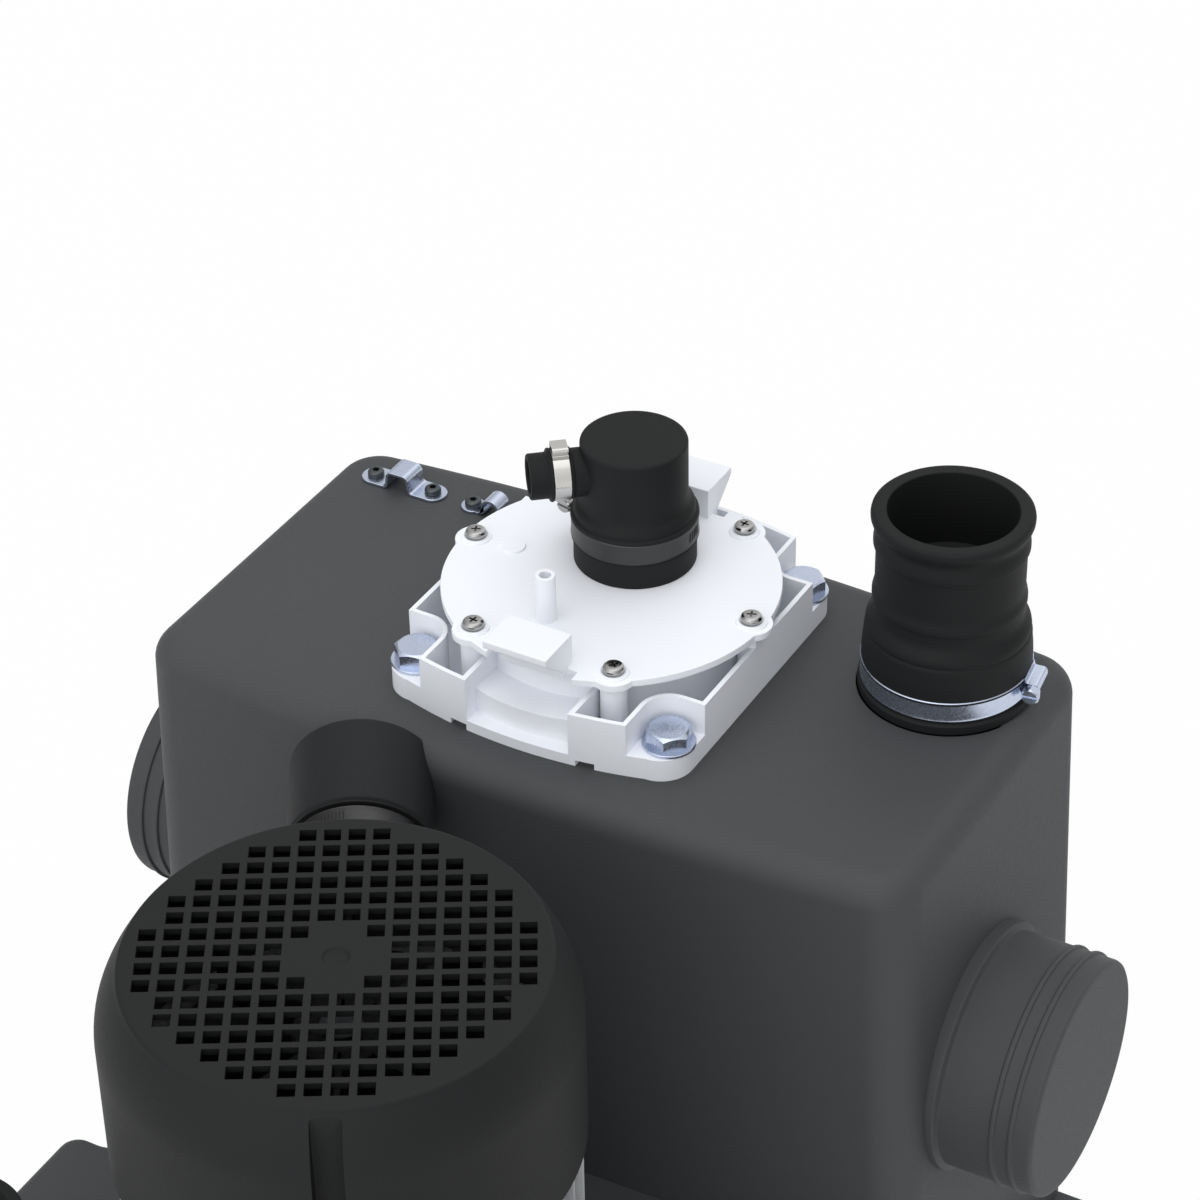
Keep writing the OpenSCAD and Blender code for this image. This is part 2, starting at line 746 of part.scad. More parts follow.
module lid_screw(k) {
    color("silver") at_cover() rotate([0, 0, k * 60]) translate([lid_screw_ring, 0, lid_z + lid_t + 1])
        pan_screw(lid_screw_head_r, lid_screw_head_h, screw_r, lid_screw_len);
}

function corner_x(k) = (k == 1 || k == 4 ? -1 : 1) * bolt_off;
function corner_y(k) = (k < 3 ? -1 : 1) * bolt_off;

module frame_bolt(k) {
    color("silver") translate([cover_x + corner_x(k), cover_y + corner_y(k), washer_z + washer_t]) {
        cylinder(r = bolt_af / sqrt(3), h = bolt_head_h, $fn = 6);
        translate([0, 0, -washer_t - pad_h - tank_wall - 6])
            cylinder(r = bolt_r, h = washer_t + pad_h + tank_wall + 6 + eps);
    }
}

module frame_washer(k) {
    color("lightsteelblue") translate([cover_x + corner_x(k), cover_y + corner_y(k), washer_z])
        ring(washer_r, bolt_r + run_gap, washer_t);
}

cap_band_z = 13.5;
cap_band_w = 10;
cap_band_seat = cap_skirt_r + 0.2;
band_t = 0.9;

// Places a child on the nozzle's axis, with +Z pointing out of the nozzle
module at_nozzle() {
    translate([cover_x, boss_y, cover_top_z + cap_h - nozzle_drop]) rotate([0, 0, nozzle_turn])
        rotate([0, -90, 0]) children();
}

// Rubber cap over the lid's boss, with a side nozzle
module rubber_cap() {
    color("#232425") difference() {
        union() {
            translate([cover_x, boss_y, cover_top_z]) rotate_extrude() polygon([
                [0, lid_boss_h + rest_gap], [lid_boss_r + run_gap, lid_boss_h + rest_gap],
                [lid_boss_r + run_gap, 0], [cap_skirt_r, 0],
                [cap_skirt_r, cap_band_z - 1.2], [cap_band_seat + 0.5, cap_band_z - 0.8],
                [cap_band_seat + 0.5, cap_band_z], [cap_band_seat, cap_band_z],
                [cap_band_seat, cap_band_z + cap_band_w], [cap_skirt_r + 1, cap_band_z + cap_band_w],
                [cap_skirt_r + 0.8, cap_band_z + cap_band_w + 1.6],
                [cap_skirt_r - 0.4, cap_band_z + cap_band_w + 2],
                [cap_skirt_r - 0.4, cap_band_z + cap_band_w + 3.5], [cap_skirt_r - 2, cap_band_z + cap_band_w + 6],
                [cap_head_r + 0.7, cap_band_z + cap_band_w + 7], [cap_head_r, cap_band_z + cap_band_w + 11],
                [cap_head_r, cap_h - 1.2], [cap_head_r - 1.2, cap_h], [0, cap_h]
            ]);
            at_nozzle() {
                cylinder(r = nozzle_r, h = nozzle_len - 10);
                translate([0, 0, nozzle_len - 12 - nozzle_clamp_w]) cylinder(r = nozzle_r + 0.6, h = 1.5);
                translate([0, 0, nozzle_len - 10.4]) cylinder(r = nozzle_r + 0.9, h = 1.8);
                translate([0, 0, nozzle_len - 10]) cylinder(r = nozzle_r - 0.6, h = 10);
            }
        }
        at_nozzle() translate([0, 0, 12]) cylinder(r = nozzle_r - 3.5, h = nozzle_len);
        translate([cover_x, boss_y, cover_top_z + lid_boss_h]) cylinder(r = cap_head_r - 5, h = cap_h - lid_boss_h - 5);
    }
}

cap_screw_turn = 168;
nozzle_clamp_w = 7.2;

module cap_clamp() {
    color("#484848") translate([cover_x, boss_y, cover_top_z + cap_band_z]) rotate([0, 0, cap_screw_turn])
        worm_band(cap_band_seat, cap_band_w, band_t, worm_house_w, worm_house_h);
}

module cap_clamp_screw() {
    color("silver") translate([cover_x, boss_y, cover_top_z + cap_band_z + cap_band_w / 2])
        rotate([0, 0, cap_screw_turn]) translate([cap_band_seat + worm_off, -8, 0]) mirror([0, 1, 0])
        worm_screw(16);
}

// Crimped ear clamp on the cap's nozzle
module nozzle_clamp() {
    w = nozzle_clamp_w;
    ear_w = 8.7;
    ear_h = 4.5;
    ear_t = 0.9;
    color("silver") at_nozzle() translate([0, 0, nozzle_len - 10.4 - w]) difference() {
        union() {
            cylinder(r = nozzle_r + 0.8, h = w);
            translate([nozzle_r - 0.8, -ear_w / 2, 0]) cube([ear_h + 0.8, ear_w, w]);
        }
        translate([0, 0, -eps]) cylinder(r = nozzle_r + run_gap, h = w + 2 * eps);
        translate([nozzle_r + 0.6, ear_t - ear_w / 2, -eps])
            cube([ear_h - 0.6 - ear_t, ear_w - 2 * ear_t, w + 2 * eps]);
    }
}

// Two-hole saddle for the sensor cable
module saddle_clip() {
    half = clip_pitch / 2;
    color("lightsteelblue") translate([clip_x + half, clip_y, tank_h]) difference() {
        union() {
            for (side = [-1, 1]) {
                translate([side * half, 0, 0]) cylinder(r = saddle_half_w, h = clip_plate_t);
                translate([side * (half + saddle_arch_r - 0.2) / 2 - (half - saddle_arch_r + 0.2) / 2, -saddle_half_w, 0])
                    cube([half - saddle_arch_r + 0.2, 2 * saddle_half_w, clip_plate_t]);
            }
            translate([0, saddle_half_w, saddle_arch_z]) rotate([90, 0, 0]) difference() {
                union() {
                    cylinder(r = saddle_arch_r, h = 2 * saddle_half_w);
                    translate([-saddle_arch_r, -saddle_arch_z, 0])
                        cube([2 * saddle_arch_r, saddle_arch_z, 2 * saddle_half_w]);
                }
                translate([0, 0, -eps]) cylinder(r = saddle_arch_r - clip_plate_t, h = 2 * saddle_half_w + 2 * eps);
                translate([clip_plate_t - saddle_arch_r, -saddle_arch_z - eps, -eps])
                    cube([2 * (saddle_arch_r - clip_plate_t), saddle_arch_z + eps, 2 * saddle_half_w + 2 * eps]);
                translate([-2 * saddle_arch_r, -4 * saddle_arch_z, -eps])
                    cube([4 * saddle_arch_r, 3 * saddle_arch_z, 2 * saddle_half_w + 2 * eps]);
            }
        }
        for (k = [-1, 1]) {
            translate([k * half, 0, -eps]) cylinder(r = 2 + run_gap, h = 5);
        }
    }
}

// Single-hole clip for the thin tube
module p_clip() {
    color("lightsteelblue") translate([clip_x + p_clip_off, clip_y, tank_h]) difference() {
        union() {
            translate([0, -5, 0]) cube([11, 10, clip_plate_t]);
            cylinder(r = 6, h = clip_plate_t);
            translate([12, 5, 5]) rotate([90, 0, 0]) cylinder(r = 5, h = 10);
        }
        translate([12, 6, 5]) rotate([90, 0, 0]) cylinder(r = 3.6, h = 12);
        translate([0, 0, -eps]) cylinder(r = 2 + run_gap, h = 5);
    }
}

clip_screw_x = [clip_x, clip_x + clip_pitch, clip_x + p_clip_off];

module clip_screw(k) {
    color("#505050") translate([clip_screw_x[k], clip_y, tank_h + clip_plate_t])
        pan_screw(4, 3, 2, clip_plate_t + tank_wall + 3);
}

// True where the square grille has a hole, counted from its middle in half pitches
function grille_open(i, j) = let(d = sqrt(i * i + j * j)) d < 7.7 && d > 1.6;

// Cut of the channel down the front of the cowl, drawn in by grow
module cowl_channel(grow) {
    translate([-channel_w / 2 - grow, -cowl_r - 5, cowl_z - 1])
        cube([channel_w + 2 * grow, channel_d + 5 + grow, cowl_h + grow]);
}

// Form of the cowl, drawn in by inset, with a shoulder that curves in to the grille plate
module cowl_form(inset) {
    steps = 8;
    straight = cowl_h - cowl_shoulder_h;
    rotate_extrude() polygon(concat(
        [[0, 0], [cowl_r - inset, 0]],
        [for (k = [0 : steps]) let(t = k / steps)
            [cowl_r - inset - (cowl_r - grille_r) * t * t, straight + (cowl_shoulder_h - 1.5) * t]],
        [[grille_r - inset - 1.5, cowl_h], [0, cowl_h]]
    ));
}

cowl_screw_z = cowl_z + 10;
cowl_screw_r = 2.5;
cowl_screw_head_r = 4.5;
cowl_screw_len = 14;

module fan_cowl() {
    color("#323435") at_motor() difference() {
        translate([0, 0, cowl_z]) cowl_form(0);
        difference() {
            translate([0, 0, cowl_z - 0.01]) cowl_form(cowl_wall);
            cowl_channel(cowl_wall);
            translate([0, 0, cowl_top_z - cowl_wall]) cylinder(r = cowl_r, h = 2 * cowl_wall);
        }
        cowl_channel(0);
        for (a = [45 : 90 : 315]) {
            rotate([0, 0, a]) translate([0, 0, cowl_screw_z]) rotate([0, 90, 0])
                cylinder(r = cowl_screw_r + run_gap, h = cowl_r + 5);
        }
        translate([0, 0, cowl_top_z - cowl_wall - eps]) linear_extrude(cowl_wall + 2 * eps)
            for (i = [-7.5 : 1 : 7.5], j = [-7.5 : 1 : 7.5]) {
                if (grille_open(i, j)) {
                    translate([i * grille_pitch, j * grille_pitch]) square(grille_hole, center = true);
                }
            }
    }
}

module cowl_screws() {
    color("silver") at_motor() for (a = [45 : 90 : 315]) {
        rotate([0, 0, a]) translate([cowl_r, 0, cowl_screw_z]) rotate([0, 90, 0])
            pan_screw(cowl_screw_head_r, 3, cowl_screw_r, cowl_screw_len);
    }
}

module fan() {
    color("lightgray") at_motor() translate([0, 0, fan_z]) {
        difference() {
            union() {
                cylinder(r = 20, h = fan_hub_h);
                cylinder(r = fan_r, h = fan_plate_t);
                for (a = [0 : 360 / fan_n : 359]) {
                    rotate([0, 0, a]) translate([10, -1.5, 0]) cube([fan_r - 12, 3, fan_hub_h]);
                }
            }
            translate([0, 0, -eps]) cylinder(r = shaft_r, h = fan_hub_h + 2 * eps);
        }
    }
}

module rotor_shaft() {
    color("silver") at_motor() {
        translate([0, 0, shaft_low_z]) cylinder(r = shaft_r, h = shaft_top_z - shaft_low_z);
        translate([0, 0, lower_bearing_z() + bearing_w + rest_gap]) cylinder(r = shaft_r + 3, h = 3);
    }
}

function lower_bearing_z() = housing_z - bearing_w;
function upper_bearing_z() = housing_top_z;

module rotor_core() {
    color("darkgray") at_motor() ring(stator_bore_r - air_gap, shaft_r, stator_h, stator_z);
}

module stator_core() {
    color("#8a5a3c") at_motor() {
        ring(stator_r, stator_bore_r, stator_h, stator_z);
        for (z = [stator_z - 8, stator_z + stator_h]) ring(stator_r - 4, stator_bore_r + 6, 8, z);
    }
}

box_z = housing_z + 8;
box_h = 66;
box_w = 76;
box_root = housing_r + 4;
box_d = 32;
box_cover_t = 6;
gland_r = 10;
// Half of the angle round the motor that the terminal box keeps free of fins
box_turn = asin((box_w / 2 + 2 + fin_t / 2) / fin_r);

// Ribbed housing with a flat pad for the terminal box
module motor_housing() {
    color("gainsboro") at_motor() difference() {
        union() {
            translate([0, 0, housing_z]) cylinder(r = housing_r, h = housing_top_z - housing_z);
            for (a = [0 : 360 / fin_n : 359.9]) {
                if (abs(a - 270) > box_turn) rotate([0, 0, a])
                    translate([housing_r - 2, -fin_t / 2, housing_z + 6])
                    cube([fin_r - housing_r + 2, fin_t, cowl_z - housing_z - 6 - rest_gap]);
            }
            translate([-box_w / 2 + 4, -box_root, box_z + 4]) cube([box_w - 8, 30, box_h - 8]);
        }
        translate([0, 0, housing_z - eps]) cylinder(r = stator_r, h = housing_top_z - housing_z + 2 * eps);
    }
}

module terminal_box() {
    color("#3a3c3d") at_motor() difference() {
        translate([-box_w / 2, -box_root - box_d, box_z]) cube([box_w, box_d, box_h]);
        translate([-box_w / 2 + 3, -box_root - box_d - eps, box_z + 3]) cube([box_w - 6, box_d - 3, box_h - 6]);
        translate([box_w / 2 - 10, -box_root - box_d / 2, box_z + box_h / 2]) rotate([0, 90, 0])
            cylinder(r = gland_r, h = 20);
    }
}

module terminal_cover() {
    color("#3a3c3d") at_motor() translate([-box_w / 2, -box_root - box_d - box_cover_t, box_z])
        cube([box_w, box_cover_t, box_h]);
}

module cable_gland() {
    color("#2a2a2a") at_motor() translate([box_w / 2 - 3, -box_root - box_d / 2, box_z + box_h / 2])
        rotate([0, 90, 0]) difference() {
            union() {
                cylinder(r = gland_r - run_gap, h = 3);
                translate([0, 0, 3]) cylinder(r = gland_r + 3, h = 8, $fn = 6);
                translate([0, 0, 11 - eps]) cylinder(r = gland_r, h = 12);
            }
            translate([0, 0, -eps]) cylinder(r = 5.5, h = 40);
        }
}

module upper_shield() {
    color("gainsboro") at_motor() difference() {
        translate([0, 0, housing_top_z]) cylinder(r = cowl_r - cowl_wall - run_gap, h = upper_shield_t + 4);
        translate([0, 0, housing_top_z - eps]) cylinder(r = bearing_r, h = bearing_w + eps);
        translate([0, 0, housing_top_z]) cylinder(r = shaft_r + 2, h = 40);
        translate([0, 0, housing_top_z + upper_shield_t]) ring(cowl_r - cowl_wall - 14, shaft_r + 14, 10);
        cowl_channel(cowl_wall + run_gap);
        for (a = [45 : 90 : 315]) {
            rotate([0, 0, a]) translate([cowl_r - 2 * cowl_screw_len, 0, cowl_screw_z]) rotate([0, 90, 0])
                cylinder(r = cowl_screw_r + run_gap, h = 40);
        }
    }
}

flange_t = 8;

module lower_shield() {
    color("gainsboro") at_motor() difference() {
        union() {
            translate([0, 0, shield_z]) cylinder(r = casing_r, h = flange_t);
            translate([0, 0, shield_z]) cylinder(r = housing_r - 2, h = shield_t);
        }
        translate([0, 0, shield_z + shield_t - bearing_w]) cylinder(r = bearing_r, h = bearing_w + eps);
        translate([0, 0, shield_z - eps]) cylinder(r = shaft_r + 1.5, h = 40);
        for (a = [45 : 90 : 315]) {
            rotate([0, 0, a]) translate([casing_bolt_ring, 0, shield_z - eps])
                cylinder(r = casing_bolt_r + run_gap, h = 20);
        }
    }
}

module bearing(z) {
    at_motor() ring(bearing_r - 0.01, shaft_r + 0.02, bearing_w, z);
}

module upper_bearing() {
    color("silver") bearing(upper_bearing_z());
}

module lower_bearing() {
    color("silver") bearing(lower_bearing_z());
}

module shaft_seal() {
    color("#7a5a40") at_motor() ring(seal_r, shaft_r + run_gap, seal_h, seal_z);
}

// Volute casing with a tangential outlet and a boss for the vent riser
module pump_casing() {
    color("#4a4c4e") difference() {
        union() {
            at_motor() {
                translate([0, 0, casing_z]) cylinder(r = casing_r, h = casing_h);
                translate([0, riser_y, casing_z]) cylinder(r = riser_r + 7, h = casing_h);
                translate([-riser_r, 0, casing_z]) cube([2 * riser_r, riser_y, casing_h - 8]);
            }
            translate([motor_x, motor_y - outlet_off, outlet_z]) rotate([0, -90, 0])
                cylinder(r = outlet_r + pipe_wall, h = casing_r + 2);
            translate([motor_x - casing_r - 2, motor_y - outlet_off, outlet_z]) rotate([0, -90, 0])
                cylinder(r = outlet_r + pipe_wall, h = 4);
        }
        at_motor() {
            translate([0, 0, casing_z + casing_plate])
                cylinder(r = impeller_r + 14, h = casing_h - 2 * casing_plate);
            translate([0, 0, casing_z - eps]) cylinder(r = eye_r, h = casing_plate + 2 * eps);
            translate([0, 0, casing_top_z - casing_plate - eps])
                cylinder(r = seal_r + run_gap, h = casing_plate + 2 * eps);
            translate([0, riser_y, casing_z + 12]) cylinder(r = riser_r - riser_wall, h = casing_h);
            translate([0, riser_y, casing_top_z - riser_seat]) cylinder(r = riser_r + run_gap, h = 20);
            translate([0, impeller_r, casing_z + 20]) rotate([-90, 0, 0])
                cylinder(r = 6, h = riser_y - impeller_r);
            for (a = [45 : 90 : 315]) {
                rotate([0, 0, a]) translate([casing_bolt_ring, 0, casing_z - eps])
                    cylinder(r = casing_bolt_r + run_gap, h = casing_h + 2 * eps);
            }
        }
        translate([motor_x, motor_y - outlet_off, outlet_z]) rotate([0, -90, 0])
            cylinder(r = outlet_r, h = casing_r + 30);
    }
}

module casing_bolts() {
    color("silver") at_motor() for (a = [45 : 90 : 315]) {
        rotate([0, 0, a]) translate([casing_bolt_ring, 0, 0]) {
            translate([0, 0, casing_z - tank_wall - 8])
                cylinder(r = casing_bolt_r, h = casing_h + tank_wall + 8 + flange_t + 1);
            translate([0, 0, shield_z + flange_t]) cylinder(r = 6.5, h = 5, $fn = 6);
        }
    }
}

module impeller() {
    color("darkgray") at_motor() translate([0, 0, impeller_z]) difference() {
        union() {
            translate([0, 0, impeller_h - 4]) cylinder(r = impeller_r, h = 4);
            cylinder(r = shaft_r + 6, h = impeller_h);
            for (a = [0 : 360 / vane_n : 359]) {
                rotate([0, 0, a]) translate([10, -2, 4]) cube([impeller_r - 14, 4, impeller_h - 5]);
            }
        }
        translate([0, 0, -eps]) cylinder(r = shaft_r, h = impeller_h + 2 * eps);
    }
}

module cutter_ring() {
    color("silver") at_motor() difference() {
        translate([0, 0, cutter_ring_z]) cylinder(r = cutter_ring_r, h = cutter_ring_t);
        translate([0, 0, cutter_ring_z - eps]) cylinder(r = shaft_r + 4, h = 20);
        for (a = [0 : 45 : 315]) {
            rotate([0, 0, a]) translate([shaft_r + 9, 0, cutter_ring_z - eps]) cylinder(r = 4.5, h = 20);
        }
    }
}

module cutter_rotor() {
    color("silver") at_motor() translate([0, 0, cutter_z]) difference() {
        union() {
            cylinder(r = shaft_r + 5, h = 8);
            for (a = [0 : 360 / cutter_n : 359]) {
                rotate([0, 0, a]) translate([8, -5, 2]) cube([cutter_ring_r - 14, 10, 6]);
            }
        }
        translate([0, 0, -eps]) cylinder(r = shaft_r, h = 20);
    }
}

// Check valve body with the upright discharge stub, in the line left of the casing
valve_right_x = motor_x - casing_r - 6;
valve_left_x = motor_x - outlet_run + 8;
valve_y = motor_y - outlet_off;
valve_half = outlet_r + 9;
valve_top_z = flap_z + 12;
flap_room_x = valve_right_x - 7;
valve_cover_t = 5;
flap_pin_r = 2;

module valve_body() {
    color("#4a4c4e") difference() {
        union() {
            translate([valve_left_x, valve_y - valve_half, deck_h + rest_gap])
                cube([valve_right_x - valve_left_x, 2 * valve_half, valve_top_z - deck_h - rest_gap]);
            translate([motor_x - outlet_run, valve_y, deck_h + rest_gap])
                cylinder(r = outlet_r + pipe_wall, h = outlet_rim_z - 6 - deck_h - rest_gap);
            translate([motor_x - outlet_run, valve_y, outlet_z]) rotate([0, 90, 0])
                cylinder(r = outlet_r + pipe_wall - 1, h = 20);
        }
        translate([valve_right_x + eps, valve_y, outlet_z]) rotate([0, -90, 0])
            cylinder(r = outlet_r, h = 20);
        translate([valve_left_x + 10, valve_y - outlet_r - 4, deck_h + 4])
            cube([flap_room_x - valve_left_x - 10, 2 * outlet_r + 8, valve_top_z - deck_h]);
        translate([motor_x - outlet_run, valve_y, outlet_z]) rotate([0, 90, 0])
            cylinder(r = outlet_r - 1, h = 30);
        translate([motor_x - outlet_run, valve_y, outlet_z])
            cylinder(r = outlet_r - 1, h = 100);
        translate([flap_room_x - 5, valve_y + 30, flap_z]) rotate([90, 0, 0])
            cylinder(r = flap_pin_r + run_gap, h = 60);
    }
}

// Flap with its own pin; it swings up towards the outlet
module valve_flap() {
    color("silver") translate([flap_room_x - 5, valve_y, flap_z]) {
        rotate([90, 0, 0]) cylinder(r = flap_pin_r, h = 2 * valve_half - 4, center = true);
        translate([5 - rest_gap, 0, outlet_z - flap_z]) rotate([0, -90, 0]) cylinder(r = outlet_r + 2, h = 3);
        translate([5 - rest_gap - 3, -4, outlet_z - flap_z]) cube([3, 8, flap_z - outlet_z + 1]);
        translate([-2, -4, -3]) cube([6, 8, 4]);
    }
}

module valve_cover() {
    color("#4a4c4e") difference() {
        translate([valve_left_x, valve_y - valve_half, valve_top_z])
            cube([valve_right_x - valve_left_x, 2 * valve_half, valve_cover_t]);
        translate([motor_x - outlet_run, valve_y, valve_top_z - eps])
            cylinder(r = outlet_r + pipe_wall + rest_gap, h = valve_cover_t + 2 * eps);
    }
}

sleeve_foot_z = valve_top_z + valve_cover_t + rest_gap;

module discharge_sleeve() {
    inner = outlet_r + pipe_wall + run_gap;
    color("#232425") translate([motor_x - outlet_run, valve_y, 0]) rotate_extrude() polygon([
        [inner, sleeve_foot_z], [inner + rubber_wall, sleeve_foot_z],
        [inner + rubber_wall, outlet_rim_z - 6], [outlet_sleeve_r, outlet_rim_z - 4],
        [outlet_sleeve_r, outlet_rim_z - 0.8], [outlet_sleeve_r - 0.8, outlet_rim_z],
        [outlet_sleeve_r - 5.5, outlet_rim_z], [inner, outlet_rim_z - 8]
    ]);
}

module discharge_clamp() {
    color("lightsteelblue") translate([motor_x - outlet_run, valve_y, sleeve_foot_z + 0.4]) rotate([0, 0, 200])
        worm_band(outlet_r + pipe_wall + run_gap + rubber_wall, discharge_band_w, band_t, worm_house_w, worm_house_h);
}

// Where the riser's two straight runs meet
riser_knee_z = stub_z - (stub_run - riser_y) * tan(stub_fall);

// Vent riser of one radius: up from the casing, round the knee and into the tank's stub
module riser_form(r, knuckle_r, extra) {
    at_motor() {
        translate([0, riser_y, casing_top_z - riser_seat - extra])
            cylinder(r = r, h = riser_knee_z - casing_top_z + riser_seat + extra);
        translate([0, riser_y, riser_knee_z]) sphere(r = knuckle_r);
    }
    at_stub() translate([0, 0, -30 - extra]) cylinder(r = r, h = (stub_run - riser_y) / cos(stub_fall) + 30 + extra);
}

module vent_riser() {
    color("#5a5c5e") difference() {
        riser_form(riser_r, riser_r + riser_knuckle, 0);
        riser_form(riser_r - riser_wall, riser_r - riser_wall + 0.7, 1);
    }
}

module riser_sleeve() {
    color("#232425") at_stub() difference() {
        union() {
            cylinder(r = sleeve_r, h = sleeve_len);
            cylinder(r = stub_r - 0.7, h = 1.4);
        }
        translate([0, 0, -eps]) cylinder(r = riser_r + run_gap, h = sleeve_len + 2 * eps);
    }
}

module riser_clamp() {
    color("silver") at_stub() translate([0, 0, 1.7]) rotate([0, 0, 20])
        worm_band(sleeve_r, riser_band_w, band_t, worm_house_w, worm_house_h);
}

// Bracket under the lid that carries the float arm
module float_bracket() {
    color("white") at_cover() difference() {
        union() {
            translate([0, 0, lid_z - 4]) intersection() {
                cylinder(r = ring_in - 3 - rest_gap, h = 4);
                translate([-20, -60, 0]) cube([40, 120, 4]);
            }
            for (sx = [-1, 1]) {
                translate([sx * (bracket_leg_x + bracket_leg_w / 2) - bracket_leg_w / 2,
                           -float_hinge_off - 7, -float_drop - 8])
                    cube([bracket_leg_w, 14, float_drop + 8 + lid_z - 3]);
            }
        }
        translate([30, -float_hinge_off, -float_drop]) rotate([0, -90, 0]) cylinder(r = pin_r + run_gap, h = 60);
        translate([hose_x, hose_y, -10]) cylinder(r = bracket_hole_r, h = 60);
        translate([0, lid_boss_off, 0]) cylinder(r = lid_boss_r - 4, h = 60);
    }
}

// Float on its arm, with its own pin; it hangs lowest at rest
module float_arm() {
    color("orange") at_cover() translate([0, -float_hinge_off, -float_drop]) {
        rotate([0, 90, 0]) cylinder(r = pin_r, h = 2 * (bracket_leg_x + bracket_leg_w) - 2, center = true);
        rotate([-float_low_turn, 0, 0]) {
            translate([-float_arm_w / 2, -6, -float_arm_t / 2]) cube([float_arm_w, float_reach, float_arm_t]);
            translate([0, float_reach + float_r - 8, -float_h / 2]) cylinder(r = float_r, h = float_h);
        }
    }
}

tank_body();
vent_sleeve();
vent_clamp();
vent_clamp_screw();
cover_frame();
lid_disc();
lid_seal();
lid_screw(0);  // lid_screw_1
lid_screw(1);  // lid_screw_2
lid_screw(2);  // lid_screw_3
lid_screw(3);  // lid_screw_4
lid_screw(4);  // lid_screw_5
lid_screw(5);  // lid_screw_6
frame_bolt(1);  // frame_bolt_1
frame_bolt(2);  // frame_bolt_2
frame_bolt(3);  // frame_bolt_3
frame_bolt(4);  // frame_bolt_4
frame_washer(1);  // frame_washer_1
frame_washer(2);  // frame_washer_2
frame_washer(3);  // frame_washer_3
frame_washer(4);  // frame_washer_4
rubber_cap();
cap_clamp();
cap_clamp_screw();
nozzle_clamp();
saddle_clip();
p_clip();
clip_screw(0);  // clip_screw_1
clip_screw(1);  // clip_screw_2
clip_screw(2);  // clip_screw_3
fan_cowl();
cowl_screws();
fan();
rotor_shaft();
rotor_core();
stator_core();
motor_housing();
upper_shield();
lower_shield();
upper_bearing();
lower_bearing();
terminal_box();
terminal_cover();
cable_gland();
shaft_seal();
pump_casing();
casing_bolts();
impeller();
cutter_rotor();
cutter_ring();
valve_body();
valve_flap();
valve_cover();
discharge_sleeve();
discharge_clamp();
vent_riser();
riser_sleeve();
riser_clamp();
float_arm();
float_bracket();
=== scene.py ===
"""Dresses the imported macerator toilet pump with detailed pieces, finishes, light and a camera."""

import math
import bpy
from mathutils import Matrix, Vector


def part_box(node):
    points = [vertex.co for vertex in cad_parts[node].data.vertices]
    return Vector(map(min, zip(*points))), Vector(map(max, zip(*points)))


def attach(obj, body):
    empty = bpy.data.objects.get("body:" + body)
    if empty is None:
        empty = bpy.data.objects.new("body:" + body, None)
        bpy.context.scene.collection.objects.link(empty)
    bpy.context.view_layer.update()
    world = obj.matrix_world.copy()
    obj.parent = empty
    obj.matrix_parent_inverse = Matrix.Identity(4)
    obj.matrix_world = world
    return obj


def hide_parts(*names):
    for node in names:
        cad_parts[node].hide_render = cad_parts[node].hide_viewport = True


bl_info = {
    "name": "Macerator toilet pump",
    "version": (1, 0, 0),
    "blender": (4, 5, 0),
    "location": "3D View > Sidebar > Pump",
    "description": "Builds the looks of a toilet waste pump with its collecting tank",
    "category": "Object",
}

import bmesh
import bpy
from mathutils import Matrix, Vector

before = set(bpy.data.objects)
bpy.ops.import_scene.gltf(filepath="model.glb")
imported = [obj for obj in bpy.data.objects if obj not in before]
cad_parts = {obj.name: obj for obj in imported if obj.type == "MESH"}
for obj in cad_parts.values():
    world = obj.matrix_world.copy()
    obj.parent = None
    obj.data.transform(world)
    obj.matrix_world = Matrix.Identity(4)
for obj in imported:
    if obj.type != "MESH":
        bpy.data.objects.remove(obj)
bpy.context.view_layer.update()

MILLIMETRES = Matrix.Scale(0.001, 4)
UPRIGHT = Matrix.Identity(4)
EVEN = (1, 1, 1)


def spin(degrees, axis):
    """A turn about an axis."""
    return Matrix.Rotation(math.radians(degrees), 4, axis)


def raised(place, height):
    """A place moved along its own Z axis by a height in metres."""
    return place @ Matrix.Translation((0, 0, height))


def in_millimetres(place):
    """A place in metres, for a mesh that is still in millimetres."""
    return Matrix.Scale(1000, 4) @ place @ MILLIMETRES


def numbered(name, count):
    """The names of a row of like nodes, counted from 1."""
    return ["%s_%d" % (name, k + 1) for k in range(count)]


def hex_linear(code):
    """Linear colour of an sRGB hex value."""
    parts = [int(code[k : k + 2], 16) / 255 for k in (0, 2, 4)]
    return tuple(c / 12.92 if c <= 0.04045 else ((c + 0.055) / 1.055) ** 2.4 for c in parts)


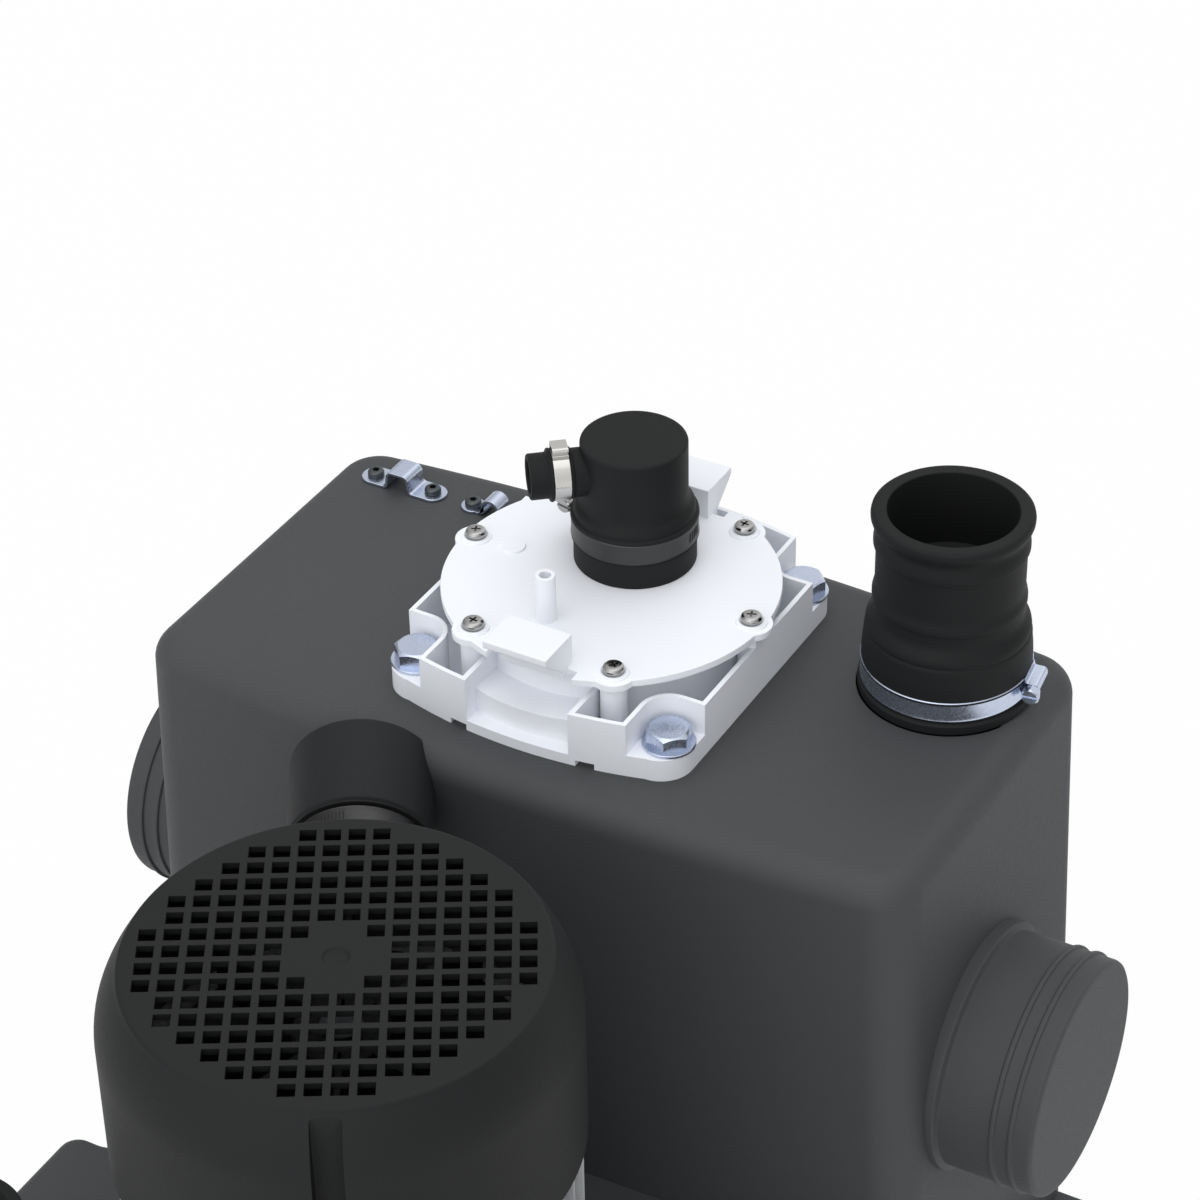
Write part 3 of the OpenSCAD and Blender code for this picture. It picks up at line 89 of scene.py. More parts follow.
class TankSizes(bpy.types.PropertyGroup):
    """Sizes of the collecting tank."""

    middle_x: bpy.props.FloatProperty(
        name="Middle", description="Middle of the tank, across", default=-0.0076, unit="LENGTH")
    half_width: bpy.props.FloatProperty(
        name="Half width", description="Half width at the inlet height", default=0.1967, unit="LENGTH")
    top_half_width: bpy.props.FloatProperty(
        name="Top half width", description="Half width at the top", default=0.1913, unit="LENGTH")
    height: bpy.props.FloatProperty(
        name="Height", description="Height of the tank top", default=0.320, unit="LENGTH")
    front: bpy.props.FloatProperty(
        name="Front", description="Front wall at the corners", default=0.046, unit="LENGTH")
    back: bpy.props.FloatProperty(
        name="Back", description="Back wall at the corners", default=0.2385, unit="LENGTH")
    bow: bpy.props.FloatProperty(
        name="Bow", description="Outward bow of the front and back walls", default=0.009, unit="LENGTH")
    corner_radius: bpy.props.FloatProperty(
        name="Corner radius", description="Radius of the upright corners", default=0.021, unit="LENGTH")
    edge_radius: bpy.props.FloatProperty(
        name="Edge radius", description="Radius of the rounded top edge", default=0.013, unit="LENGTH")
    inlet_height: bpy.props.FloatProperty(
        name="Inlet height", description="Height of the inlet axis", default=0.180, unit="LENGTH")


class PumpSizes(bpy.types.PropertyGroup):
    """Sizes of the motor unit."""

    cowl_radius: bpy.props.FloatProperty(
        name="Cowl radius", description="Outside radius of the fan cowl", default=0.0967, unit="LENGTH")
    grille_radius: bpy.props.FloatProperty(
        name="Grille radius", description="Radius of the grille plate", default=0.0863, unit="LENGTH")
    grille_pitch: bpy.props.FloatProperty(
        name="Grille pitch", description="Distance between grille holes", default=0.010, unit="LENGTH")
    grille_hole: bpy.props.FloatProperty(
        name="Grille hole", description="Side of a grille hole", default=0.007, unit="LENGTH")
    fin_count: bpy.props.IntProperty(
        name="Fin places", description="Places for cooling fins round the housing", default=44)
    fan_blades: bpy.props.IntProperty(
        name="Fan blades", description="Number of fan blades", default=8)


class Finishes(bpy.types.PropertyGroup):
    """Colours of the finishes, linear."""

    tank: bpy.props.FloatVectorProperty(
        name="Tank", description="Moulded tank", subtype="COLOR", default=hex_linear("434547"))
    rubber: bpy.props.FloatVectorProperty(
        name="Rubber", description="Sleeves and cap", subtype="COLOR", default=hex_linear("1e1f20"))
    white: bpy.props.FloatVectorProperty(
        name="White", description="Sensor cover and lid", subtype="COLOR", default=hex_linear("f2f5fb"))
    cowl: bpy.props.FloatVectorProperty(
        name="Cowl", description="Fan cowl", subtype="COLOR", default=hex_linear("1c1d1e"))
    zinc: bpy.props.FloatVectorProperty(
        name="Zinc", description="Blue zinc plating", subtype="COLOR", default=hex_linear("c4cde0"))
    steel: bpy.props.FloatVectorProperty(
        name="Steel", description="Bright stainless steel", subtype="COLOR", default=hex_linear("c9c8c5"))
    aluminium: bpy.props.FloatVectorProperty(
        name="Aluminium", description="Cast motor housing", subtype="COLOR", default=hex_linear("d6d8da"))


def add_node(tree, kind, settings=None, inputs=None):
    """Adds a node, sets its own settings, and sets or links its inputs by name or place."""
    node = tree.nodes.new(kind)
    for key, value in (settings or {}).items():
        setattr(node, key, value)
    for key, value in (inputs or {}).items():
        if isinstance(value, bpy.types.NodeSocket):
            tree.links.new(value, node.inputs[key])
        else:
            node.inputs[key].default_value = value
    return node


def blank_material(name):
    material = bpy.data.materials.new(name)
    material.use_nodes = True
    material.node_tree.nodes.clear()
    return material, material.node_tree


def skinned(name, colour, stretch, grain, drift, mottle, gloss, relief, own):
    """A material whose fine grain drives gloss and relief, and whose slow drift varies its shade."""
    material, tree = blank_material(name)
    place = add_node(tree, "ShaderNodeTexCoord").outputs["Object"]
    drawn = add_node(tree, "ShaderNodeMapping", inputs={"Vector": place, "Scale": stretch})
    skin = add_node(tree, "ShaderNodeTexNoise", inputs={"Vector": drawn.outputs["Vector"], **grain})
    cloud = add_node(tree, "ShaderNodeTexNoise", inputs={"Vector": place, **drift})
    shade = add_node(tree, "ShaderNodeMix", {"data_type": "RGBA"}, {
        0: cloud.outputs["Fac"],
        6: (*[c * (1 - mottle) for c in colour], 1),
        7: (*[min(1, c * (1 + mottle)) for c in colour], 1)})
    rough = add_node(tree, "ShaderNodeMapRange", inputs={
        "Value": skin.outputs["Fac"], "From Min": 0.3, "From Max": 0.7,
        "To Min": gloss[0], "To Max": gloss[1]})
    bump = add_node(tree, "ShaderNodeBump", inputs={
        "Height": skin.outputs["Fac"], "Strength": relief[0], "Distance": relief[1] / 1000})
    shader = add_node(tree, "ShaderNodeBsdfPrincipled", inputs={
        "Base Color": shade.outputs[2], "Roughness": rough.outputs["Result"],
        "Normal": bump.outputs["Normal"], **own})
    add_node(tree, "ShaderNodeOutputMaterial", inputs={"Surface": shader.outputs["BSDF"]})
    return material


def moulded(name, colour, roughness, grain_mm, relief_mm, mottle, specular=0.5):
    """A moulded plastic or rubber: fine skin grain, slow drift of shade and of gloss."""
    return skinned(
        name, colour, EVEN, {"Scale": 1000 / grain_mm, "Detail": 3.0, "Roughness": 0.55},
        {"Scale": 14.0, "Detail": 2.0}, mottle, (roughness - 0.04, roughness + 0.05),
        (0.5, relief_mm), {"IOR": 1.5, "Specular IOR Level": specular})


def metal(name, colour, roughness, grain_mm, relief_mm, mottle, stretch=EVEN):
    """A bare or plated metal: grain drawn along one way by stretch, and a drift of tone."""
    return skinned(
        name, colour, stretch, {"Scale": 1000 / grain_mm, "Detail": 2.0},
        {"Scale": 260.0, "Detail": 1.0}, mottle, (roughness - 0.06, roughness + 0.08),
        (0.4, relief_mm), {"Metallic": 1.0})


def make_materials(colours):
    """All finishes of the pump, by name."""
    return {
        # Rotationally moulded polyethylene: dull, with a faint orange-peel skin from the hot mould
        "tank": moulded("moulded_polyethylene", colours.tank, 0.62, 2.2, 0.03, 0.03, 0.35),
        # Polyethylene socket of the riser, moulded separately and darker than the tank
        "socket": moulded("moulded_socket", hex_linear("212224"), 0.6, 1.8, 0.02, 0.03, 0.2),
        # Nitrile rubber from a sandblasted mould: very matt, nearly black
        "rubber": moulded("nitrile_rubber", colours.rubber, 0.6, 0.8, 0.02, 0.05, 0.15),
        # Injection-moulded white ABS: satin, with a slight cool cast
        "white": moulded("moulded_white_abs", colours.white, 0.42, 1.2, 0.006, 0.01, 0.4),
        # Polypropylene fan cowl with a spark-eroded skin: fine matt grain
        "cowl": moulded("grained_polypropylene", colours.cowl, 0.6, 0.9, 0.03, 0.03, 0.22),
        # Polyvinyl chloride pipe: smooth extruded skin, mid grey
        "pipe": moulded("extruded_pipe", hex_linear("5c6064"), 0.45, 1.6, 0.01, 0.03),
        # Orange polypropylene float, moulded smooth
        "float": moulded("moulded_float", hex_linear("c8641e"), 0.4, 1.5, 0.008, 0.03),
        # Cast iron under dip-coated dark paint: soft lumps of the sand mould
        "iron": moulded("painted_cast_iron", hex_linear("2f3235"), 0.5, 3.0, 0.08, 0.05),
        # Enamelled copper and bonded laminations of the stator
        "winding": moulded("varnished_winding", hex_linear("6e3f26"), 0.35, 1.0, 0.05, 0.15),
        # Steel with blue passivated zinc: fine crystals that scatter a cool light
        "zinc": metal("blue_zinc_plate", colours.zinc, 0.27, 1.4, 0.002, 0.05),
        # Stainless steel, rolled: soft streaks along the strip
        "steel": metal("rolled_stainless", colours.steel, 0.2, 0.8, 0.001, 0.02, (1, 1, 0.1)),
        # Bright drawn steel of the lid screws: nearly a mirror
        "chrome": metal("bright_screw_steel", hex_linear("a8a8a7"), 0.14, 0.9, 0.001, 0.03),
        # Darkened stainless strip of the hose bands, brushed along its length
        "dark_band": metal("dark_strip_steel", hex_linear("4a4a4a"), 0.38, 0.7, 0.006, 0.08, (1, 1, 8)),
        # Black phosphated steel screws: dull, with an oily sheen
        "phosphate": metal("phosphated_steel", hex_linear("565a5c"), 0.42, 0.9, 0.01, 0.08),
        # Die-cast aluminium: pale, with the fine roughness of the die
        "aluminium": metal("die_cast_aluminium", colours.aluminium, 0.45, 1.1, 0.03, 0.04),
        # Painted shade in the slots punched through a hose band: a dark sheet stands for the shadowed rubber
        # seen through the holes
        "slot": moulded("band_slot", hex_linear("17181a"), 0.7, 1.0, 0.01, 0.05),
    }


def motor_place():
    """Where the motor unit stands: on its axis, turned with the unit."""
    low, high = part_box("rotor_shaft")
    axis = (low + high) / 2
    return Matrix.Translation((axis.x, axis.y, 0)) @ spin(30, "Z")


MOTOR = motor_place()
STUB = MOTOR @ Matrix.Translation((0, 0.141, 0.2935)) @ spin(102, "X")
COVER = Matrix.Translation((-0.0075, 0.1455, 0.320))
BOSS = Matrix.Translation((-0.0075, 0.1675, 0.3565))
NOZZLE = raised(BOSS, 0.0473) @ spin(39, "Z") @ spin(-90, "Y")
VENT = Matrix.Translation((0.1358, 0.1909, 0.320))


def object_from(name, bm):
    """A new object from a bmesh, which is freed."""
    mesh = bpy.data.meshes.new(name)
    bm.to_mesh(mesh)
    bm.free()
    obj = bpy.data.objects.new(name, mesh)
    bpy.context.scene.collection.objects.link(obj)
    return obj


def turned(profile, segments=96, closed=False):
    """A turned form about Z from (radius, height) points; closed joins the last point to the first."""
    bm = bmesh.new()
    rings = []
    for radius, height in profile:
        if radius < 1e-6:
            rings.append([bm.verts.new((0, 0, height))])
        else:
            rings.append([
                bm.verts.new((radius * math.cos(2 * math.pi * k / segments),
                              radius * math.sin(2 * math.pi * k / segments), height))
                for k in range(segments)])
    pairs = list(zip(rings, rings[1:]))
    if closed:
        pairs.append((rings[-1], rings[0]))
    for one, two in pairs:
        for k in range(segments):
            n = (k + 1) % segments
            corners = [one[k % len(one)], one[n % len(one)], two[n % len(two)], two[k % len(two)]]
            corners = [v for i, v in enumerate(corners) if v not in corners[:i]]
            if len(corners) > 2:
                bm.faces.new(corners)
    bmesh.ops.recalc_face_normals(bm, faces=bm.faces)
    return bm


def lofted(rings):
    """A form through rings of equally many points, capped at its ends."""
    bm = bmesh.new()
    rows = [[bm.verts.new(p) for p in ring] for ring in rings]
    count = len(rows[0])
    for one, two in zip(rows, rows[1:]):
        for k in range(count):
            n = (k + 1) % count
            bm.faces.new((one[k], one[n], two[n], two[k]))
    bm.faces.new(list(reversed(rows[0])))
    bm.faces.new(rows[-1])
    bmesh.ops.recalc_face_normals(bm, faces=bm.faces)
    return bm


def block(x0, x1, y0, y1, z0, z1):
    """A block between two corners."""
    corners = [(x0, y0), (x1, y0), (x1, y1), (x0, y1)]
    return lofted([[(x, y, z) for x, y in corners] for z in (z0, z1)])


def rounded_path(points, radius, steps=6):
    """The points of an open path with its inner corners rounded."""
    path = [Vector(points[0])]
    for before, here, after in zip(points, points[1:], points[2:]):
        a, b, c = Vector(before), Vector(here), Vector(after)
        into, out = (b - a).normalized(), (c - b).normalized()
        turn = into.angle(out)
        reach = min(radius * math.tan(turn / 2), (b - a).length * 0.49, (c - b).length * 0.49)
        start, end = b - into * reach, b + out * reach
        for k in range(steps + 1):
            t = k / steps
            path.append(start * (1 - t) ** 2 + b * 2 * t * (1 - t) + end * t * t)
    path.append(Vector(points[-1]))
    return path


def strip(path, half_width, thick):
    """A bent flat strip whose middle line lies in XZ, and whose width lies along Y."""
    sides = []
    for k, here in enumerate(path):
        before, after = path[max(0, k - 1)], path[min(len(path) - 1, k + 1)]
        along = (after - before).normalized()
        sides.append(Vector((-along.y, along.x)) * thick / 2)
    outline = [p + s for p, s in zip(path, sides)] + [p - s for p, s in reversed(list(zip(path, sides)))]
    return lofted([[(p.x, y, p.y) for p in outline] for y in (-half_width, half_width)])


def hexagon(across_flats, height):
    """A hexagon head with its corners chamfered by a cone."""
    flat = across_flats / 2
    count = 60
    base, shoulder, top = [], [], []
    for k in range(count):
        a = 2 * math.pi * k / count
        r = flat / math.cos((a + math.pi / 6) % (math.pi / 3) - math.pi / 6)
        c, s = math.cos(a), math.sin(a)
        base.append((r * c, r * s, 0))
        shoulder.append((r * c, r * s, height - 0.4 - (r - flat * 0.97) * 0.577))
        top.append((flat * 0.92 * c, flat * 0.92 * s, height))
    return lofted([base, shoulder, top])


def drill(obj, *cutters):
    """Cuts objects out of obj and removes them."""
    for cutter in cutters:
        hole = obj.modifiers.new("cut", "BOOLEAN")
        hole.operation = "DIFFERENCE"
        hole.solver = "EXACT"
        hole.object = cutter
    settle(obj)
    for cutter in cutters:
        bpy.data.objects.remove(cutter)
    return obj


def settle(obj):
    """Makes obj's modified shape its plain mesh."""
    graph = bpy.context.evaluated_depsgraph_get()
    mesh = bpy.data.meshes.new_from_object(obj.evaluated_get(graph), depsgraph=graph)
    obj.modifiers.clear()
    obj.data = mesh
    mesh.name = obj.name
    return obj


def joined(name, objects):
    """One object from several, which are removed."""
    bm = bmesh.new()
    for obj in objects:
        bm.from_mesh(obj.data)
        bpy.data.objects.remove(obj)
    return object_from(name, bm)


def rounded(obj, width, angle=35, segments=3):
    """Rounds the sharp edges of obj by width."""
    edge = obj.modifiers.new("edges", "BEVEL")
    edge.width = width
    edge.segments = segments
    edge.limit_method = "ANGLE"
    edge.angle_limit = math.radians(angle)
    edge.harden_normals = False
    return settle(obj)


def show(obj, material, place, body, nodes=(), angle=32):
    """Puts a piece from millimetres to its place, smooths it, and makes it ride on its body."""
    obj.data.transform(place @ MILLIMETRES)
    return finish(obj, material, body, nodes, angle)


def finish(obj, material, body, nodes=(), angle=32):
    """Gives a placed piece its finish and its body, and hides the CAD nodes that it stands for."""
    obj.data.materials.clear()
    obj.data.materials.append(FINISH[material])
    obj.data.shade_smooth()
    obj.data.set_sharp_from_angle(angle=math.radians(angle))
    level = obj.modifiers.new("normals", "WEIGHTED_NORMAL")
    level.keep_sharp = True
    settle(obj)
    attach(obj, body)
    if nodes:
        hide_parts(*nodes)
    return obj


def copy_of(node, name):
    """A merged copy of a CAD node, with its flat faces joined."""
    bm = bmesh.new()
    bm.from_mesh(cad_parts[node].data)
    bmesh.ops.remove_doubles(bm, verts=bm.verts, dist=1e-6)
    bmesh.ops.dissolve_limit(bm, angle_limit=math.radians(1), verts=bm.verts, edges=bm.edges)
    return object_from(name, bm)


def dressed(node, name, material, body, edge=0.0):
    """A CAD node's own shape with merged faces and rounded edges."""
    obj = copy_of(node, name)
    if edge:
        rounded(obj, edge, 40, 2)
    return finish(obj, material, body, [node])


def ring_tree():
    """Geometry nodes that repeat a source piece round the Z axis at even steps."""
    tree = bpy.data.node_groups.new("repeat_round_axis", "GeometryNodeTree")
    tree.interface.new_socket(name="Geometry", in_out="OUTPUT", socket_type="NodeSocketGeometry")
    for name, kind in (("Source", "Object"), ("Count", "Int"), ("Radius", "Float"), ("First", "Float"),
                       ("Step", "Float"), ("Finish", "Material")):
        tree.interface.new_socket(name=name, in_out="INPUT", socket_type="NodeSocket" + kind)
    given = add_node(tree, "NodeGroupInput").outputs
    turn = add_node(tree, "ShaderNodeMath", {"operation": "MULTIPLY_ADD"}, {
        0: add_node(tree, "GeometryNodeInputIndex").outputs["Index"], 1: given["Step"], 2: given["First"]})
    across = [add_node(tree, "ShaderNodeMath", {"operation": kind}, {0: turn.outputs[0]})
              for kind in ("COSINE", "SINE")]
    reach = [add_node(tree, "ShaderNodeMath", {"operation": "MULTIPLY"}, {
        0: part.outputs[0], 1: given["Radius"]}) for part in across]
    spot = add_node(tree, "ShaderNodeCombineXYZ", inputs={"X": reach[0].outputs[0], "Y": reach[1].outputs[0]})
    angle = add_node(tree, "ShaderNodeCombineXYZ", inputs={"Z": turn.outputs[0]})
    facing = add_node(tree, "FunctionNodeEulerToRotation", inputs={0: angle.outputs[0]})
    row = add_node(tree, "GeometryNodeMeshLine", inputs={"Count": given["Count"]})
    points = add_node(tree, "GeometryNodeSetPosition", inputs={
        "Geometry": row.outputs[0], "Position": spot.outputs[0]})
    source = add_node(tree, "GeometryNodeObjectInfo", inputs={"Object": given["Source"]})
    copies = add_node(tree, "GeometryNodeInstanceOnPoints", inputs={
        "Points": points.outputs[0], "Instance": source.outputs["Geometry"], "Rotation": facing.outputs[0]})
    real = add_node(tree, "GeometryNodeRealizeInstances", inputs={0: copies.outputs[0]})
    coated = add_node(tree, "GeometryNodeSetMaterial", inputs={
        "Geometry": real.outputs[0], "Material": given["Finish"]})
    add_node(tree, "NodeGroupOutput", inputs={0: coated.outputs[0]})
    return tree


def grille_tree():
    """Geometry nodes that punch a round field of square holes through a cowl."""
    tree = bpy.data.node_groups.new("punch_square_grille", "GeometryNodeTree")
    tree.interface.new_socket(name="Geometry", in_out="OUTPUT", socket_type="NodeSocketGeometry")
    for name, kind in (("Geometry", "Geometry"), ("Pitch", "Float"), ("Hole", "Float"), ("Rows", "Int"),
                       ("Hub", "Float"), ("Reach", "Float"), ("Height", "Float"), ("Finish", "Material")):
        tree.interface.new_socket(name=name, in_out="INPUT", socket_type="NodeSocket" + kind)
    given = add_node(tree, "NodeGroupInput").outputs
    gaps = add_node(tree, "ShaderNodeMath", {"operation": "SUBTRACT"}, {0: given["Rows"], 1: 1.0})
    width = add_node(tree, "ShaderNodeMath", {"operation": "MULTIPLY"}, {
        0: gaps.outputs[0], 1: given["Pitch"]})
    field = add_node(tree, "GeometryNodeMeshGrid", inputs={
        "Size X": width.outputs[0], "Size Y": width.outputs[0],
        "Vertices X": given["Rows"], "Vertices Y": given["Rows"]})
    spot = add_node(tree, "GeometryNodeInputPosition")
    reach = add_node(tree, "ShaderNodeVectorMath", {"operation": "LENGTH"}, {0: spot.outputs[0]})
    outside = add_node(tree, "ShaderNodeMath", {"operation": "GREATER_THAN"}, {
        0: reach.outputs["Value"], 1: given["Hub"]})
    inside = add_node(tree, "ShaderNodeMath", {"operation": "LESS_THAN"}, {
        0: reach.outputs["Value"], 1: given["Reach"]})
    both = add_node(tree, "ShaderNodeMath", {"operation": "MULTIPLY"}, {
        0: outside.outputs[0], 1: inside.outputs[0]})
    size = add_node(tree, "ShaderNodeCombineXYZ", inputs={"X": given["Hole"], "Y": given["Hole"], "Z": 12.0})
    punch = add_node(tree, "GeometryNodeMeshCube", inputs={"Size": size.outputs[0]})
    punches = add_node(tree, "GeometryNodeInstanceOnPoints", inputs={
        "Points": field.outputs["Mesh"], "Selection": both.outputs[0], "Instance": punch.outputs["Mesh"]})
    lift = add_node(tree, "ShaderNodeCombineXYZ", inputs={"Z": given["Height"]})
    raised = add_node(tree, "GeometryNodeTransform", inputs={
        "Geometry": punches.outputs[0], "Translation": lift.outputs[0]})
    real = add_node(tree, "GeometryNodeRealizeInstances", inputs={0: raised.outputs[0]})
    cut = add_node(tree, "GeometryNodeMeshBoolean", {"operation": "DIFFERENCE", "solver": "EXACT"}, {
        0: given["Geometry"], 1: real.outputs[0]})
    coated = add_node(tree, "GeometryNodeSetMaterial", inputs={
        "Geometry": cut.outputs["Mesh"], "Material": given["Finish"]})
    add_node(tree, "NodeGroupOutput", inputs={0: coated.outputs[0]})
    return tree


def run_tree(obj, tree, values):
    """Runs geometry nodes on obj with inputs by name, and keeps the result as its plain mesh."""
    nodes = obj.modifiers.new("nodes", "NODES")
    nodes.node_group = tree
    for item in tree.interface.items_tree:
        if item.in_out == "INPUT" and item.name in values:
            nodes[item.identifier] = values[item.name]
    obj.update_tag()
    return settle(obj)


def repeated(name, source, count, radius, first, step, material):
    """Copies of source round the Z axis; angles in degrees, and source is removed."""
    obj = object_from(name, bmesh.new())
    run_tree(obj, TREES["ring"], {
        "Source": source, "Count": count, "Radius": radius, "First": math.radians(first),
        "Step": math.radians(step), "Finish": FINISH[material]})
    bpy.data.objects.remove(source)
    return obj


TREES = {}
FINISH = {}


class ReadyFinishes(bpy.types.Operator):
    """Makes the finishes and the node trees that the pieces use"""

    bl_idname = "pump.finishes"
    bl_label = "Finishes"

    def execute(self, context):
        FINISH.update(make_materials(context.scene.pump_finishes))
        TREES["ring"] = ring_tree()
        TREES["grille"] = grille_tree()
        return {"FINISHED"}


def tank_ring(sizes, z, inset, corner_steps=10, bow_steps=24):
    """Outline of the tank at a height in millimetres, drawn in by inset."""
    lean = (sizes.half_width - sizes.top_half_width) / (sizes.height - sizes.inlet_height)
    half_w = 1000 * sizes.half_width + (1000 * sizes.inlet_height - z) * lean - inset
    half_d = 500 * (sizes.back - sizes.front) - inset
    middle = Vector((1000 * sizes.middle_x, 500 * (sizes.front + sizes.back)))
    radius = max(1000 * sizes.corner_radius - inset, 1.5)
    slope = math.atan(2000 * sizes.bow / (half_w - radius))
    end_x = half_w - radius + radius * math.sin(slope)
    end_y = half_d - radius + radius * math.cos(slope)
    rise = end_x * math.tan(slope) / 2
    quarter = []
    for k in range(corner_steps + 1):
        a = (math.pi / 2 - slope) * k / corner_steps
        quarter.append((half_w - radius + radius * math.cos(a), half_d - radius + radius * math.sin(a)))
    for k in range(1, bow_steps // 2 + 1):
        x = end_x * (1 - 2 * k / bow_steps)
        quarter.append((x, end_y + rise * (1 - (x / end_x) ** 2)))
    half = quarter + [(-x, y) for x, y in reversed(quarter[:-1])]
    loop = half + [(-x, -y) for x, y in half]
    return [(middle.x + x, middle.y + y, z) for x, y in loop]


def tank_rings(sizes, inset, low):
    """Rings of the tank from low to its rounded top edge."""
    top = 1000 * sizes.height - inset
    edge = 1000 * sizes.edge_radius - inset / 2
    rings = [tank_ring(sizes, low, inset + 4), tank_ring(sizes, low + 1.2, inset + 1.2),
             tank_ring(sizes, low + 4, inset), tank_ring(sizes, low + 8, inset),
             tank_ring(sizes, top - edge - 4, inset)]
    for k in range(13):
        a = math.pi / 2 * k / 12
        rings.append(tank_ring(sizes, top - edge * (1 - math.sin(a)), inset + edge * (1 - math.cos(a))))
    rings.append(tank_ring(sizes, top, inset + edge + 3))
    return rings


def edge_levels(top, edge):
    """Heights and insets of an upright side and the rounded edge above it."""
    levels = [(0, 0), (top - edge - 3, 0)]
    for k in range(9):
        a = math.pi * k / 16
        levels.append((top - edge * (1 - math.sin(a)), edge * (1 - math.cos(a))))
    return levels


def slab_rings(x0, x1, y0, y1, top, radius, edge):
    """Rings of a block with round corners and a rounded top edge."""
    rings = []
    for z, inset in edge_levels(top, edge) + [(top, edge + 2)]:
        r = max(radius - inset, 0.5)
        ring = []
        for cx, cy, start in ((x1, y1, 0), (x0, y1, 90), (x0, y0, 180), (x1, y0, 270)):
            mx = cx - math.copysign(r + inset, cx - (x0 + x1) / 2)
            my = cy - math.copysign(r + inset, cy - (y0 + y1) / 2)
            for k in range(9):
                a = math.radians(start + 90 * k / 8)
                ring.append((mx + r * math.cos(a), my + r * math.sin(a), z))
        rings.append(ring)
    return rings


INLET_AXIS = (0, 126, 180)
INLET_END = 237.8
INLET_RIDGES = (19.8, 11.1)
DECK_TOP = 105
DECK_EDGE = 6
DECK_RIGHT = 192
DECK_LEFT = -190
DECK_FRONT = -247.5
DECK_BACK = -51.5
NECK_LEFT = -157
NECK_FRONT = -66.5
NECK_BACK = 61
NECK_FILLET = 18
FLOOR_HALF_WIDTH = 203.6
LUG_REACH = 13
LUG_ROOT = 19
LUG_PLACES = (80, 208.5)
LUG_HALF_DEPTH = 15


